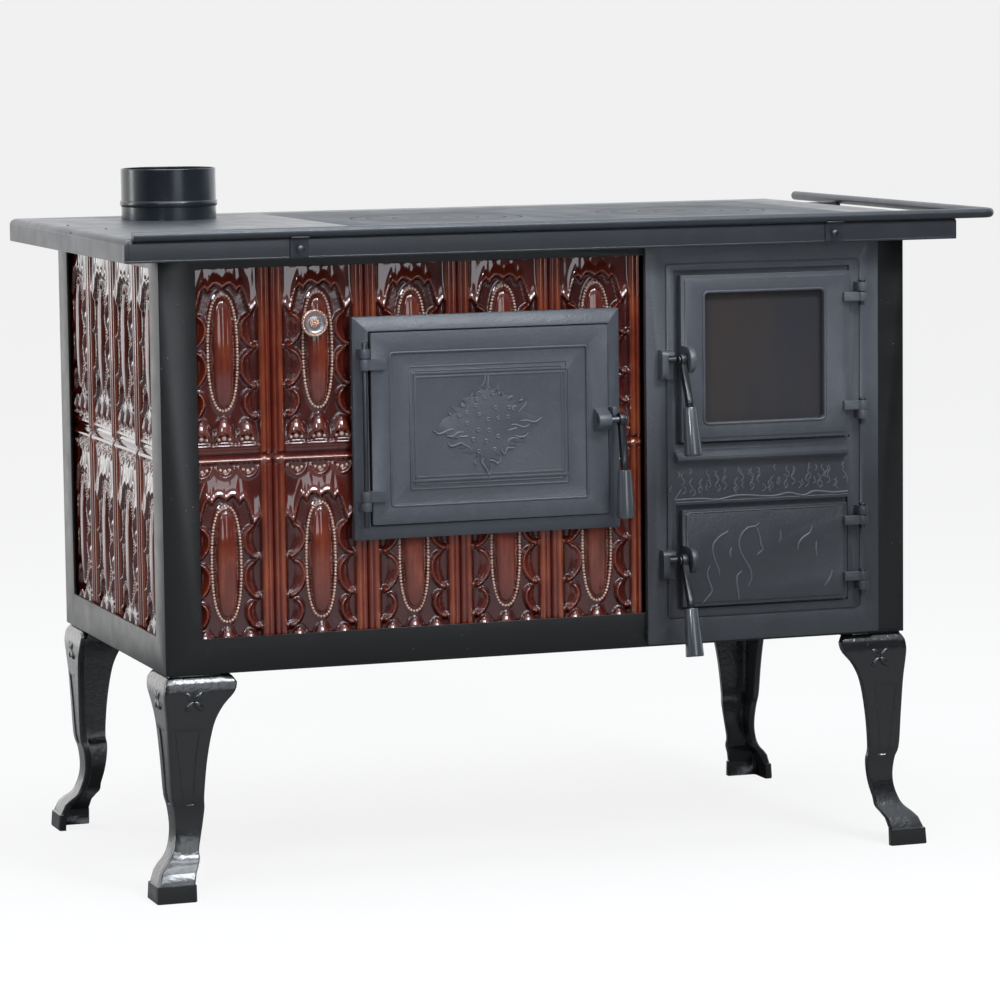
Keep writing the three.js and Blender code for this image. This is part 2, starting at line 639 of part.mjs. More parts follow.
// ---------------------------------------------------------------- oven
const ovenX = [oven.x0, oven.x1];
const ovenFront = ovenFrame.neck + fit;

function ovenBox() {
  const outer = block([ovenX[0], ovenFront, oven.bottom], [ovenX[1], oven.back, oven.top]);
  const hollow = block(
    [ovenX[0] + oven.wall, ovenFront - 1, oven.bottom + oven.wall],
    [ovenX[1] - oven.wall, oven.back - oven.wall, oven.top - oven.wall],
  );
  const runner = (x0, x1) => block([x0, ovenFront + 20, rack.z - 4], [x1, oven.back - 20, rack.z]);
  const runners = [
    runner(ovenX[0] + oven.wall - 1, ovenX[0] + oven.wall + 8),
    runner(ovenX[1] - oven.wall - 8, ovenX[1] - oven.wall + 1),
  ];
  const guideY = (ovenFront + oven.back) / 2;
  const guideHalf = damper.rod + 6;
  const bracket = block(
    [damperX - guideHalf, guideY, damper.z - guideHalf],
    [ovenX[0] + 1, guideY + 4, damper.z + guideHalf],
  );
  const stay = block([ovenX[0] - 14, guideY, oven.top - 30], [ovenX[0] + 1, guideY + 4, damper.z]);
  const bore = cylinder("y", [damperX, guideY - 5, damper.z], holeRadius(damper.rod + running, 12), 20, 12);
  return cut(join(cut(outer, hollow), ...runners, bracket, stay), bore);
}

place("oven_box", ovenBox(), sheetSteel);

function ovenRack() {
  const x0 = ovenX[0] + oven.wall + rack.inset;
  const x1 = ovenX[1] - oven.wall - rack.inset;
  const y0 = ovenFront + 24;
  const y1 = oven.back - 24;
  const z0 = rack.z + fit;
  const z1 = z0 + rack.bar;
  const side = 6;
  const sunk = 1;
  let grid = block([x0, y0, z0], [x0 + side, y1, z1]);
  grid = join(grid, block([x1 - side, y0, z0], [x1, y1, z1]));
  for (const y of [y0 + sunk, (y0 + y1) / 2 - side / 2, y1 - side - sunk]) {
    grid = grid.add(block([x0 + sunk, y, z0], [x1 - sunk, y + side, z1]));
  }
  const span = x1 - x0 - side;
  for (let k = 1; k <= rack.bars; k += 1) {
    const x = x0 + side / 2 + (span * k) / (rack.bars + 1);
    const half = rack.bar / 2;
    const end = 2 * sunk;
    grid = grid.add(block([x - half, y0 + end, z0 + sunk / 2], [x + half, y1 - end, z1 - sunk / 2]));
  }
  return grid;
}

place("oven_rack", ovenRack(), brightSteel);

const ovenFaceY = tileFace - 2 * fit;
const ovenRim = ovenFaceY - ovenFrame.plate - ovenFrame.rise;
const ovenSeat = ovenRim + pocket.depth + 3;
const ovenLeafX = ovenFrame.x + (ovenFrame.width - ovenLeaf.width) / 2;
const ovenLeafZ = ovenFrame.bottom + (ovenFrame.height - ovenLeaf.height) / 2;
const ovenLeafBack = ovenSeat - fit;
const ovenHinge = { x: ovenLeafX - 8.5, y: ovenLeafBack - ovenLeaf.thickness - hinge.strap / 2 + 1 };
const ovenStrapIn = { low: 28, high: 30.5 };
const strapHigh = 13;
const ovenStraps = [ovenLeafZ + ovenStrapIn.low, ovenLeafZ + ovenLeaf.height - ovenStrapIn.high - strapHigh];
const strapReach = 25;
const lugTall = 10.5;

function ovenDoorFrame() {
  const { x, width, bottom, height, border, plate, rise, neckWall } = ovenFrame;
  const rect = (grow, y) => [
    [x + grow, y, bottom + grow], [x + width - grow, y, bottom + grow],
    [x + width - grow, y, bottom + height - grow], [x + grow, y, bottom + height - grow],
  ];
  // lofted in (x, z) rings along y
  const flip = (ringPoints) => ringPoints.map(([px, py, pz]) => [px, pz, py]);
  const slab = loft([flip(rect(0, ovenFaceY)), flip(rect(0, ovenFaceY - plate)), flip(rect(border - 2, ovenRim))]);
  const plateSolid = slab.mirror([0, 1, -1].map((v) => v * Math.SQRT1_2));
  const neckTube = block([neck.left, ovenFaceY - 1, neck.bottom], [neck.right, ovenFrame.neck, neck.top]);
  const pocketCut = block(
    [ovenLeafX - 1.4, ovenRim - 2, ovenLeafZ - 1.4],
    [ovenLeafX + ovenLeaf.width + 1.4, ovenSeat, ovenLeafZ + ovenLeaf.height + 1.4],
  );
  const mouth = block(
    [neck.left + neckWall, ovenRim - 5, neck.bottom + neckWall],
    [neck.right - neckWall, ovenFrame.neck + 5, neck.top - neckWall],
  );
  const lugs = [ovenStraps[0] - hinge.gap / 3 - lugTall, ovenStraps[1] + strapHigh + hinge.gap].map((z) => {
    return lugSolid(z, z + lugTall, ovenFaceY - plate - ovenHinge.y + 1).translate([ovenHinge.x, ovenHinge.y, 0]);
  });
  const keeperX = [ovenLeafX + ovenLeaf.width + 2, ovenLeafX + ovenLeaf.width + 7.5];
  const behind = ovenLatch.y + lever.catchOut + lever.catchRadius + fit;
  const above = ovenLatch.z + lever.catchRadius + 1.5;
  const tongue = block(
    [keeperX[0], behind, ovenLatch.z - 14],
    [keeperX[1], ovenFaceY - plate + 2, ovenLatch.z + 15],
  );
  const hood = block(
    [keeperX[0], ovenLatch.y + 2, above],
    [keeperX[1], ovenFaceY - plate + 2, ovenLatch.z + 15],
  );
  const rodHole = pinHole(bottom, bottom + height, hinge.pin).translate([ovenHinge.x, ovenHinge.y, 0]);
  return cut(join(cut(join(plateSolid, neckTube), pocketCut, mouth), ...lugs, tongue, hood), rodHole);
}

// Flat leaf with a sunk field and a raised double moulding, as seen from the front.
function ovenDoor() {
  const { width, height, thickness } = ovenLeaf;
  const y1 = 0;
  const y0 = -thickness;
  const slab = prism("y", roundRect(0, 0, width, height, 2), y0, y1, 2);
  const ringBand = (inset, band, from, to) => {
    const shape = roundRect(inset, inset, width - inset, height - inset, 3);
    shape.holes.push(roundRect(inset + band, inset + band, width - inset - band, height - inset - band, 2, new THREE.Path()));
    return prism("y", shape, from, to, 2);
  };
  const sunk = 1.6;
  const fieldCut = prism("y", roundRect(25, 24, width - 25, height - 24, 3), y0 - 1, y0 + sunk, 2);
  const outerRoll = ringBand(49, 2.2, y0 + sunk - 1.4, y0 + sunk + 1);
  const innerRoll = ringBand(53.5, 2, y0 + sunk - 1, y0 + sunk + 1);
  return join(cut(slab, fieldCut), outerRoll, innerRoll);
}

const bearing = { wide: 16, high: 30, out: 22 };
const ovenLatch = {
  x: ovenLeafX + ovenLeaf.width - 2.5,
  y: ovenLeafBack - ovenLeaf.thickness - bearing.out + 9,
  z: ovenLeafZ + ovenLeaf.height / 2,
};

function ovenDoorWhole() {
  const [hx, hy] = [ovenHinge.x, ovenHinge.y];
  const leaf = ovenDoor().translate([ovenLeafX - hx, ovenLeafBack - hy, ovenLeafZ]);
  const face = ovenLeafBack - ovenLeaf.thickness - hy;
  const straps = ovenStraps.map((z) => strapSolid(z, z + strapHigh, strapReach, face + 1));
  const lx = ovenLatch.x - hx - bearing.wide;
  const ly = ovenLatch.y - hy;
  const shape = new THREE.Shape();
  const half = bearing.high / 2;
  const back = face + 2;
  shape.moveTo(back, ovenLatch.z - half);
  shape.lineTo(back, ovenLatch.z + half);
  shape.lineTo(ly, ovenLatch.z + half - 5);
  shape.absarc(ly, ovenLatch.z, 9, Math.PI / 2, 1.5 * Math.PI, false);
  shape.lineTo(ly, ovenLatch.z - half + 5);
  const bearingBlock = prism("x", shape, lx, lx + bearing.wide, 4);
  const bore = cylinder("x", [lx - 5, ly, ovenLatch.z], holeRadius(lever.pin + fit, 12), 40, 12);
  const rodHole = pinHole(ovenLeafZ, ovenLeafZ + ovenLeaf.height, hinge.pin);
  return cut(join(leaf, ...straps, bearingBlock), bore, rodHole);
}

place("oven_door_frame", ovenDoorFrame(), castPaint);
const ovenDoorGroup = groupAt(ovenHinge.x, ovenHinge.y, 0);
place("oven_door", ovenDoorWhole(), castPaint, ovenDoorGroup);

const rodBottom = ovenLeafZ - 3;
const rodTop = ovenStraps[1] + strapHigh + hinge.gap + lugTall + 8;
place("oven_hinge_rod", cylinder("z", [0, 0, 0], hinge.pin, rodTop - rodBottom, 12), brightSteel, assembly,
  [ovenHinge.x, ovenHinge.y, rodBottom]);

// ---------------------------------------------------------------- fire and ash front
const frontX = [frontLeft, frontLeft + front.width];
const frontBack = -fit;
const frontFace = frontBack - front.plate;
const frontHingeX = fireLeaf.x + fireLeaf.width + 15;
const frontHingeY = frontFace - hinge.out;

const doorways = [fireLeaf, ashLeaf];
const strapWide = 11;
const strapIn = { fireTop: 37.5, fireLow: 32, ashTop: 27.5, ashLow: 22 };
// heights of each door's upper and lower strap
const strapsOf = new Map([
  [fireLeaf, [fireLeaf.bottom + fireLeaf.height - strapIn.fireTop, fireLeaf.bottom + strapIn.fireLow]],
  [ashLeaf, [ashLeaf.bottom + ashLeaf.height - strapIn.ashTop, ashLeaf.bottom + strapIn.ashLow]],
]);
const latchUp = 0.5;
const latchZ = new Map(doorways.map((leaf) => [leaf, leaf.bottom + leaf.height / 2 + latchUp]));
const leafEar = { thick: 7.5, radius: 16, out: 17 };
const leverX = fireLeaf.x - lever.thick - 1.5;
const leverY = frontFace + pocket.depth - fireLeaf.thickness - leafEar.out;

function lugZ([upper, lower]) {
  return [upper + strapWide + hinge.gap, lower - hinge.gap / 3 - hinge.lug];
}

function fireFront() {
  const { bottom, top: high } = front;
  let casting = prism("y", roundRect(frontX[0], bottom, frontX[1], high, 2), frontFace, frontBack, 2);
  const { border, grooveWidth, grooveDepth, radius } = field;
  const groove = roundRect(frontX[0] + border, field.bottom, frontX[1] - border, field.top, radius);
  groove.holes.push(roundRect(
    frontX[0] + border + grooveWidth, field.bottom + grooveWidth,
    frontX[1] - border - grooveWidth, field.top - grooveWidth, radius - grooveWidth, new THREE.Path()));
  casting = cut(casting, prism("y", groove, frontFace - 1, frontFace + grooveDepth, 3));
  for (const leaf of doorways) {
    const { x, bottom: z, width, height, overlap } = leaf;
    const gap = pocket.gap;
    casting = cut(
      casting,
      block([x - gap, frontFace - 1, z - gap / 2], [x + width + gap / 2, frontFace + pocket.depth, z + height + gap]),
      block([x + overlap, frontFace - 1, z + overlap], [x + width - overlap, frontBack + 1, z + height - overlap]),
    );
    for (const zLug of lugZ(strapsOf.get(leaf))) {
      const lug = lugSolid(zLug, zLug + hinge.lug, frontFace - frontHingeY + 1);
      casting = join(casting, lug.translate([frontHingeX, frontHingeY, 0]));
    }
    casting = join(casting, keeperBlock(latchZ.get(leaf)));
    const pinSpace = pinHole(z, z + height, hinge.pin).translate([frontHingeX, frontHingeY, 0]);
    casting = cut(casting, pinSpace);
  }
  const sill = outline([
    [frontFace + 1, lip.bottom], [frontFace - lip.out + 4, lip.bottom], [frontFace - lip.out, lip.bottom + 4],
    [frontFace - lip.out, lip.bottom + lip.high - 8], [frontFace + 1, lip.bottom + lip.high],
  ]);
  return join(casting, prism("x", sill, fireLeaf.x - 7, fireLeaf.x + fireLeaf.width - 4));
}

// Keeper with a round nose; its slot is open to the front and below, so the catch drops out of it.
function keeperBlock(z) {
  const half = keeper.high / 2;
  const x1 = leverX - 3;
  const x0 = x1 - keeper.width;
  const base = z - 7;
  const shape = new THREE.Shape();
  shape.moveTo(frontFace + 1, base - half);
  shape.lineTo(frontFace + 1, base + half);
  shape.lineTo(frontFace - keeper.out + 7, base + half);
  shape.absarc(frontFace - keeper.out + 7, base + half - 7, 7, Math.PI / 2, Math.PI, false);
  shape.lineTo(frontFace - keeper.out, base - half + 12);
  shape.absarc(frontFace - keeper.out + 12, base - half + 12, 12, Math.PI, 1.5 * Math.PI, false);
  const catchY = leverY + lever.catchOut;
  const slot = block(
    [x1 - keeper.slot, frontFace - keeper.out - 2, base - half - 1],
    [x1 + 1, catchY + lever.catchRadius + fit, z + lever.catchRadius + 1],
  );
  return cut(prism("x", shape, x0, x1, 4), slot);
}

place("fire_front", fireFront(), castPaint);

// Ear on a leaf's edge that carries the lever's pivot pin: a half disc standing off the leaf.
function leafEarSolid(x, faceY, y, z) {
  const shape = new THREE.Shape();
  const { radius } = leafEar;
  shape.moveTo(faceY + 1, z + radius);
  shape.lineTo(y, z + radius);
  shape.absarc(y, z, radius, Math.PI / 2, 1.5 * Math.PI, false);
  shape.lineTo(faceY + 1, z - radius);
  return prism("x", shape, x, x + leafEar.thick, 6);
}

// A leaf hung on the right, in the hinge's own coordinates.
function frontLeaf(leaf) {
  const { x, bottom: z, width, height, thickness } = leaf;
  const back = frontFace + pocket.depth - fit - frontHingeY;
  const face = back - thickness;
  const x0 = x - frontHingeX;
  let made = prism("y", roundRect(x0, z, x0 + width, z + height, 1.5), face, back, 2);
  const { step, rise } = frame;
  made = join(made, prism("y", roundRect(x0 + step, z + step, x0 + width - step, z + height - step, 2), face - rise, face + 1, 2));
  for (const zStrap of strapsOf.get(leaf)) {
    made = join(made, strapSolid(zStrap, zStrap + strapWide, -strapReach, face + 1));
  }
  const latchY = leverY - frontHingeY;
  made = join(made, leafEarSolid(x0, face, latchY, latchZ.get(leaf)));
  const bore = cylinder("x", [x0 - 10, latchY, latchZ.get(leaf)], holeRadius(lever.pin + fit, 12), 40, 12);
  return cut(made, bore, pinHole(z, z + height, hinge.pin));
}

function fireDoor() {
  const back = frontFace + pocket.depth - fit - frontHingeY;
  const x0 = fireLeaf.x - frontHingeX + pane.x;
  const z0 = fireLeaf.bottom + pane.z;
  const window = prism("y", roundRect(x0, z0, x0 + pane.width, z0 + pane.height, pane.corner), -40, 40, 3);
  const { overlap, thickness } = pane;
  const rebate = block(
    [x0 - overlap - fit, back - thickness - 2 * fit, z0 - overlap - fit],
    [x0 + pane.width + overlap + fit, back + 1, z0 + pane.height + overlap + fit],
  );
  return cut(frontLeaf(fireLeaf), window, rebate);
}

const fireGroup = groupAt(frontHingeX, frontHingeY, 0);
place("fire_door", fireDoor(), castPaint, fireGroup);
const ashGroup = groupAt(frontHingeX, frontHingeY, 0);
place("ash_door", frontLeaf(ashLeaf), castPaint, ashGroup);

const leafBack = frontFace + pocket.depth - fit - frontHingeY;
const paneBox = {
  x0: fireLeaf.x - frontHingeX + pane.x - pane.overlap,
  x1: fireLeaf.x - frontHingeX + pane.x + pane.width + pane.overlap,
  z0: fireLeaf.bottom + pane.z - pane.overlap,
  z1: fireLeaf.bottom + pane.z + pane.height + pane.overlap,
};
place("door_glass", block(
  [paneBox.x0, leafBack - pane.thickness - fit, paneBox.z0],
  [paneBox.x1, leafBack - fit, paneBox.z1],
), ceramicGlass, fireGroup);

function glassRetainer() {
  const grow = 4;
  const { x0, x1, z0, z1 } = paneBox;
  const outer = roundRect(x0 - grow, z0 - grow, x1 + grow, z1 + grow, 4);
  const in_ = retainer.width - grow;
  outer.holes.push(roundRect(x0 + in_, z0 + in_, x1 - in_, z1 - in_, 3, new THREE.Path()));
  return prism("y", outer, leafBack + fit, leafBack + fit + retainer.thickness, 2);
}

place("glass_retainer", glassRetainer(), brightSteel, fireGroup);

// Short headed pins through each lug and strap.
function hingePin(z0, z1) {
  const shaft = cylinder("z", [0, 0, z0], hinge.pin, z1 - z0, 12);
  return join(shaft, cylinder("z", [0, 0, z1 - 0.5], hinge.pin + 1.4, 2.5, 12));
}

const doorNames = new Map([[fireLeaf, "fire"], [ashLeaf, "ash"]]);
for (const [leaf, name] of doorNames) {
  const [upper, lower] = strapsOf.get(leaf);
  const [lugUp, lugLow] = lugZ([upper, lower]);
  const spots = { upper: [upper - 5, lugUp + hinge.lug + 0.8], lower: [lugLow - 7, lower + strapWide + 0.8] };
  for (const [spot, [z0, z1]] of Object.entries(spots)) {
    place(`${name}_hinge_pin_${spot}`, hingePin(z0, z1), brightSteel, assembly, [frontHingeX, frontHingeY, 0]);
  }
  const pivot = groupAt(leverX, leverY, latchZ.get(leaf));
  placeLever(name, pivot, { armTilt: 24, gripTilt: 11, catchLength: 11 });
  const earEnd = fireLeaf.x + leafEar.thick - leverX;
  place(`${name}_latch_pin`, latchPin(earEnd + 2 + fit, 0), brightSteel, pivot, [-2 - fit, 0, 0]);
}

// Lever and its grip about the pivot; the catch stands to the left of the lever.
function placeLever(name, pivot, { armTilt, gripTilt, catchLength }) {
  place(`${name}_lever`, leverSolid(armTilt, gripTilt, catchLength), blackPaint, pivot);
  const [ey, ez] = armEnd(armTilt);
  const gripGroup = groupAt(lever.thick / 2, ey, ez, pivot);
  gripGroup.rotation.x = -radians(gripTilt);
  place(`${name}_grip`, gripSolid(), gripSteel, gripGroup, [0, 0, -lever.wide / 2 - 1]);
}

const ovenLeverGap = 11;
const ovenPivot = groupAt(ovenLatch.x + ovenLeverGap, ovenLatch.y, ovenLatch.z);
placeLever("oven", ovenPivot, { armTilt: 10, gripTilt: 3, catchLength: 6 });
const ovenPinLength = bearing.wide + ovenLeverGap + lever.thick + fit;
place("oven_latch_pin", latchPin(ovenPinLength + 2, ovenPinLength), brightSteel, ovenPivot,
  [lever.thick + fit - ovenPinLength, 0, 0]);

// ---------------------------------------------------------------- firebox and ash compartment
function ashBoxSolid() {
  const { left, right, floor, back } = ashBox;
  const low = floorTop + fit;
  const high = hearth.bottom - fit;
  const y0 = angle.wall + fit;
  return join(
    block([left, y0, low], [left + sheet, back, high]),
    block([right - sheet, y0, low], [right, back, high]),
    block([left, back - sheet, low], [right, back, high]),
    block([left, y0, floor], [right, back, floor + sheet]),
  );
}

place("ash_box", ashBoxSolid(), sheetSteel);

const fireMiddle = (ashBox.left + ashBox.right) / 2;
const grateX = [fireMiddle - grate.width / 2, fireMiddle + grate.width / 2];
const grateY = [grate.y, ashBox.back - grate.rearGap];
const hearthTop = hearth.bottom + hearth.thick;

function hearthPlate() {
  const slab = block([ashBox.left - 12, angle.wall + fit, hearth.bottom], [ashBox.right + 12, ashBox.back, hearthTop]);
  const { ledge } = grate;
  const seat = block(
    [grateX[0] - fit, grateY[0] - fit, hearthTop - 6 - fit],
    [grateX[1] + fit, grateY[1] + fit, hearthTop + 1],
  );
  const through = block(
    [grateX[0] + ledge, grateY[0] + ledge, hearth.bottom - 1],
    [grateX[1] - ledge, grateY[1] - ledge, hearthTop + 1],
  );
  return cut(slab, seat, through);
}

place("hearth_plate", hearthPlate(), hobIron);

function grateSolid() {
  let made = block([grateX[0], grateY[0], hearthTop - 6], [grateX[1], grateY[1], hearthTop + 4]);
  const pitch = (grate.width - 12) / grate.bars;
  for (let k = 0; k < grate.bars; k += 1) {
    const x = grateX[0] + 6 + pitch * (k + 0.5);
    for (const [y0, y1] of [[grateY[0] + 12, fireMid - 5], [fireMid + 5, grateY[1] - 12]]) {
      made = cut(made, block([x - pitch * 0.27, y0, hearthTop - 10], [x + pitch * 0.27, y1, hearthTop + 10]));
    }
  }
  return made;
}

const fireMid = (grateY[0] + grateY[1]) / 2;
place("grate", grateSolid(), hobIron);

const brickFront = angle.wall + fit + 14;
const brickZ = [hearthTop + fit, brick.top];
const brickX = [ashBox.left - 8, ashBox.right + 8];
place("firebrick_left", block(
  [brickX[0], brickFront, brickZ[0]],
  [brickX[0] + brick.thick, ashBox.back, brickZ[1]],
), chamotte);
place("firebrick_right", block(
  [brickX[1] - brick.thick, brickFront, brickZ[0]],
  [brickX[1], ashBox.back, brickZ[1]],
), chamotte);
place("firebrick_rear", block(
  [brickX[0] + brick.thick + fit, ashBox.back - brick.thick, brickZ[0]],
  [brickX[1] - brick.thick - fit, ashBox.back, brickZ[1] - 40],
), chamotte);

function ashDrawer() {
  const half = ashLeaf.width / 2 - drawer.sideGap;
  const x0 = fireMiddle - half;
  const x1 = fireMiddle + half;
  const y0 = angle.wall + fit + drawer.frontGap;
  const y1 = ashBox.back - drawer.rearGap;
  const z0 = ashBox.floor + sheet + fit;
  const z1 = z0 + drawer.high;
  const { wall } = drawer;
  const pan = cut(block([x0, y0, z0], [x1, y1, z1]), block([x0 + wall, y0 + wall, z0 + wall], [x1 - wall, y1 - wall, z1 + 1]));
  const bow = new THREE.Shape();
  bow.moveTo(-26, 0);
  bow.lineTo(-22, -9);
  bow.lineTo(22, -9);
  bow.lineTo(26, 0);
  bow.lineTo(21, 0);
  bow.lineTo(18.5, -5.5);
  bow.lineTo(-18.5, -5.5);
  bow.lineTo(-21, 0);
  const zBow = z1 - 30;
  const handle = prism("z", bow, zBow, zBow + 5, 4).translate([fireMiddle, y0 + 0.2, 0]);
  return join(pan, handle);
}

place("ash_drawer", ashDrawer(), sheetSteel);

// ---------------------------------------------------------------- flue duct and damper
const ductBack = backFace - fit;
const ductWindow = {
  x0: damperX - damper.plateWide / 2 + damper.window,
  x1: damperX + damper.plateWide / 2 - damper.window,
  z0: damper.z - damper.plateHigh / 2 + damper.window,
  z1: damper.z + damper.plateHigh / 2 - damper.window,
};

function flueDuct() {
  const { left, right, front: y0, bottom } = duct;
  const high = top - tray.top - fit;
  const outer = block([left, y0, bottom], [right, ductBack, high]);
  const hollow = block([left + sheet, y0 + sheet, bottom - 1], [right - sheet, ductBack - sheet, high + 1]);
  const corner = angle.leg + fit;
  const notch = block([left - 1, body.depth - corner, inner.ceiling - fit], [right + 1, body.depth, high + 1]);
  const window = block([ductWindow.x0, y0 - 1, ductWindow.z0], [ductWindow.x1, y0 + sheet + 1, ductWindow.z1]);
  return cut(outer, hollow, window, notch);
}

place("flue_duct", flueDuct(), sheetSteel);

const damperGroup = groupAt(damperX, 0, damper.z);
const plateThick = 3;
const plateBack = duct.front - fit;
place("damper_plate", prism("y", roundRect(
  -damper.plateWide / 2, -damper.plateHigh / 2, damper.plateWide / 2, damper.plateHigh / 2, 5,
), plateBack - plateThick, plateBack, 3), sheetSteel, damperGroup);
const knobBase = tileFace - fit;
const knobStem = 5;
const rodFront = knobBase - knobStem;
place("damper_rod", cylinder("y", [0, rodFront, 0], damper.rod, plateBack - plateThick - fit - rodFront, 12),
  brightSteel, damperGroup);

const knobProfile = [
  [damper.rod + fit, 0], [9, 0], [8, 2], [7, knobStem], [damper.knob - 2, knobStem + 1],
  [damper.knob, knobStem + 3], [damper.knob - 0.5, knobStem + 5.5], [damper.knob - 3.5, knobStem + 5.8],
  [damper.knob - 5, knobStem + 4.2], [8, knobStem + 4.2], [5.5, knobStem + 7], [2.5, knobStem + damper.knobDeep - 1],
  [0, knobStem + damper.knobDeep - 0.5], [0, knobStem + fit], [damper.rod + fit, knobStem + fit],
];
place("damper_knob", turned(knobProfile, 20), copper, damperGroup, [0, knobBase, 0], [Math.PI / 2, 0, 0]);

// ---------------------------------------------------------------- stand the stove on its box's centre
const group = new THREE.Group();
group.name = "wood_cookstove";
group.add(assembly);
const bounds = new THREE.Box3().setFromObject(assembly, true);
const centre = bounds.getCenter(new THREE.Vector3());
assembly.position.set(-centre.x, -centre.y, -bounds.min.z);

export default group;
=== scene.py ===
"""Looks of a wood-fired cookstove with relief tiles, cast doors and cabriole legs."""

import json
import math

import bmesh
import bpy
import numpy as np
from mathutils import Matrix, Vector

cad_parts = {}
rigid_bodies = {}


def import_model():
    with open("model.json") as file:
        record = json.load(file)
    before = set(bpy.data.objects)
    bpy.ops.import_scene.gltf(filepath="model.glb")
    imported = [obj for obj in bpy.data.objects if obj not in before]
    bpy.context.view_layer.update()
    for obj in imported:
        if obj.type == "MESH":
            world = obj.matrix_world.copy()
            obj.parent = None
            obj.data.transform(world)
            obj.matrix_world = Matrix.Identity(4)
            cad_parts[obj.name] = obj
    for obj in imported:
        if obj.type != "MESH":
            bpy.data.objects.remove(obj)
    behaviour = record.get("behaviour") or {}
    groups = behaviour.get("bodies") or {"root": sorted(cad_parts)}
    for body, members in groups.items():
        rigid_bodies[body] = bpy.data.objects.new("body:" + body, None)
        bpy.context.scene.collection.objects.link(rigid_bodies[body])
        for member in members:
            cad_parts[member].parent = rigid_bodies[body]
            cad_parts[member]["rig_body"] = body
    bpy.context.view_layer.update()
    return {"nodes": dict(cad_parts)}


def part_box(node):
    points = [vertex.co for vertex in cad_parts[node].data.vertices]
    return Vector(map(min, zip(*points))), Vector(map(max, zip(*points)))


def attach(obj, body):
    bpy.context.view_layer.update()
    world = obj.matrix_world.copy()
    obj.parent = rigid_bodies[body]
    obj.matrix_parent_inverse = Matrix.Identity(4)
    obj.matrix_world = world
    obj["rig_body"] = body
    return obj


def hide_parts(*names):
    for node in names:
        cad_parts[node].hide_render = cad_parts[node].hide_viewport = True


bl_info = {
    "name": "Tiled Wood Cookstove",
    "version": (1, 0, 0),
    "blender": (4, 5, 0),
    "location": "View3D > Sidebar > Cookstove",
    "description": "Dresses a wood cookstove with glazed relief tiles, cast doors and enamelled legs",
    "category": "Object",
}

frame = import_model()
NODES = frame["nodes"]
MM = 0.001


def node_box(node):
    """The lowest and the highest corner of a CAD piece, in millimetres."""
    low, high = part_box(node)
    return low / MM, high / MM


CORNER, FAR_CORNER = node_box("angle_frame")


def at(x, y, z):
    """A point given in millimetres from the frame's front left corner and the floor, in the row frame."""
    return Vector((x + CORNER.x, y + CORNER.y, z))


# ------------------------------------------------------------------ working with Blender's tools
def let_go():
    """Leave edit mode and deselect everything."""
    if bpy.context.object and bpy.context.object.mode != "OBJECT":
        bpy.ops.object.mode_set(mode="OBJECT")
    bpy.ops.object.select_all(action="DESELECT")


def pick(*pieces):
    """Select only these pieces, the first one active."""
    let_go()
    for piece in pieces:
        piece.select_set(True)
    bpy.context.view_layer.objects.active = pieces[0]


def edit(piece):
    """Go into edit mode with everything selected."""
    pick(piece)
    bpy.ops.object.mode_set(mode="EDIT")
    bpy.ops.mesh.select_all(action="SELECT")


def done():
    bpy.ops.object.mode_set(mode="OBJECT")


def extrude(x, y, z):
    """In edit mode, pull out what is selected, in millimetres."""
    bpy.ops.mesh.extrude_region_move(TRANSFORM_OT_translate={"value": (x * MM, y * MM, z * MM)})


def select_edges(piece, wanted):
    """In edit mode, select the edges that wanted(edge) accepts."""
    bpy.context.tool_settings.mesh_select_mode = (False, True, False)
    bpy.ops.mesh.select_all(action="DESELECT")
    for edge in bmesh.from_edit_mesh(piece.data).edges:
        edge.select_set(wanted(edge))
    bmesh.update_edit_mesh(piece.data)


def named(name):
    """The piece that the last operator made, under its own name."""
    piece = bpy.context.object
    piece.name = name
    piece.data.name = name
    return piece


def wrap(name, data):
    """An object of its own for a mesh or a curve."""
    piece = bpy.data.objects.new(name, data)
    bpy.context.collection.objects.link(piece)
    return piece


def mesh_of(name, points, edges=(), faces=()):
    """A piece from points in millimetres."""
    mesh = bpy.data.meshes.new(name)
    mesh.from_pydata([Vector(p) * MM for p in points], edges, faces)
    return wrap(name, mesh)


def ball(name, segments, rings, size, place=(0, 0, 0), turn=0.0):
    """A smooth ball, its three radii and its place in millimetres, turned about Z."""
    let_go()
    bpy.ops.mesh.primitive_uv_sphere_add(segments=segments, ring_count=rings, radius=1)
    piece = named(name)
    piece.scale = Vector(size) * MM
    piece.rotation_euler.z = turn
    piece.location = Vector(place) * MM
    settle(piece)
    bpy.ops.object.shade_smooth()
    return piece


def store(mesh, name, values):
    """Keep one number for each corner of a mesh, for a material to read."""
    mesh.attributes.new(name, "FLOAT", "POINT").data.foreach_set("value", values.astype(np.float32))


def settle(piece):
    """Put the place of a piece in its mesh."""
    pick(piece)
    bpy.ops.object.transform_apply(location=True, rotation=True, scale=True)
    return piece


def apply_modifier(piece, kind, **values):
    pick(piece)
    step = piece.modifiers.new(kind.title(), kind)
    for key, value in values.items():
        setattr(step, key, value)
    bpy.ops.object.modifier_apply(modifier=step.name)


def soften(piece, width, segments=2, angle=30):
    """Round the sharp edges by width millimetres and shade the rest smooth."""
    apply_modifier(
        piece, "BEVEL", width=width * MM, segments=segments, limit_method="ANGLE",
        angle_limit=math.radians(angle), use_clamp_overlap=True,
    )
    smooth(piece, angle)


def smooth(piece, angle=35):
    pick(piece)
    bpy.ops.object.shade_smooth_by_angle(angle=math.radians(angle))


def outward(piece):
    edit(piece)
    bpy.ops.mesh.remove_doubles(threshold=1e-6)
    bpy.ops.mesh.normals_make_consistent(inside=False)
    done()


def joined(pieces, name):
    pick(*pieces)
    if len(pieces) > 1:
        bpy.ops.object.join()
    return named(name)


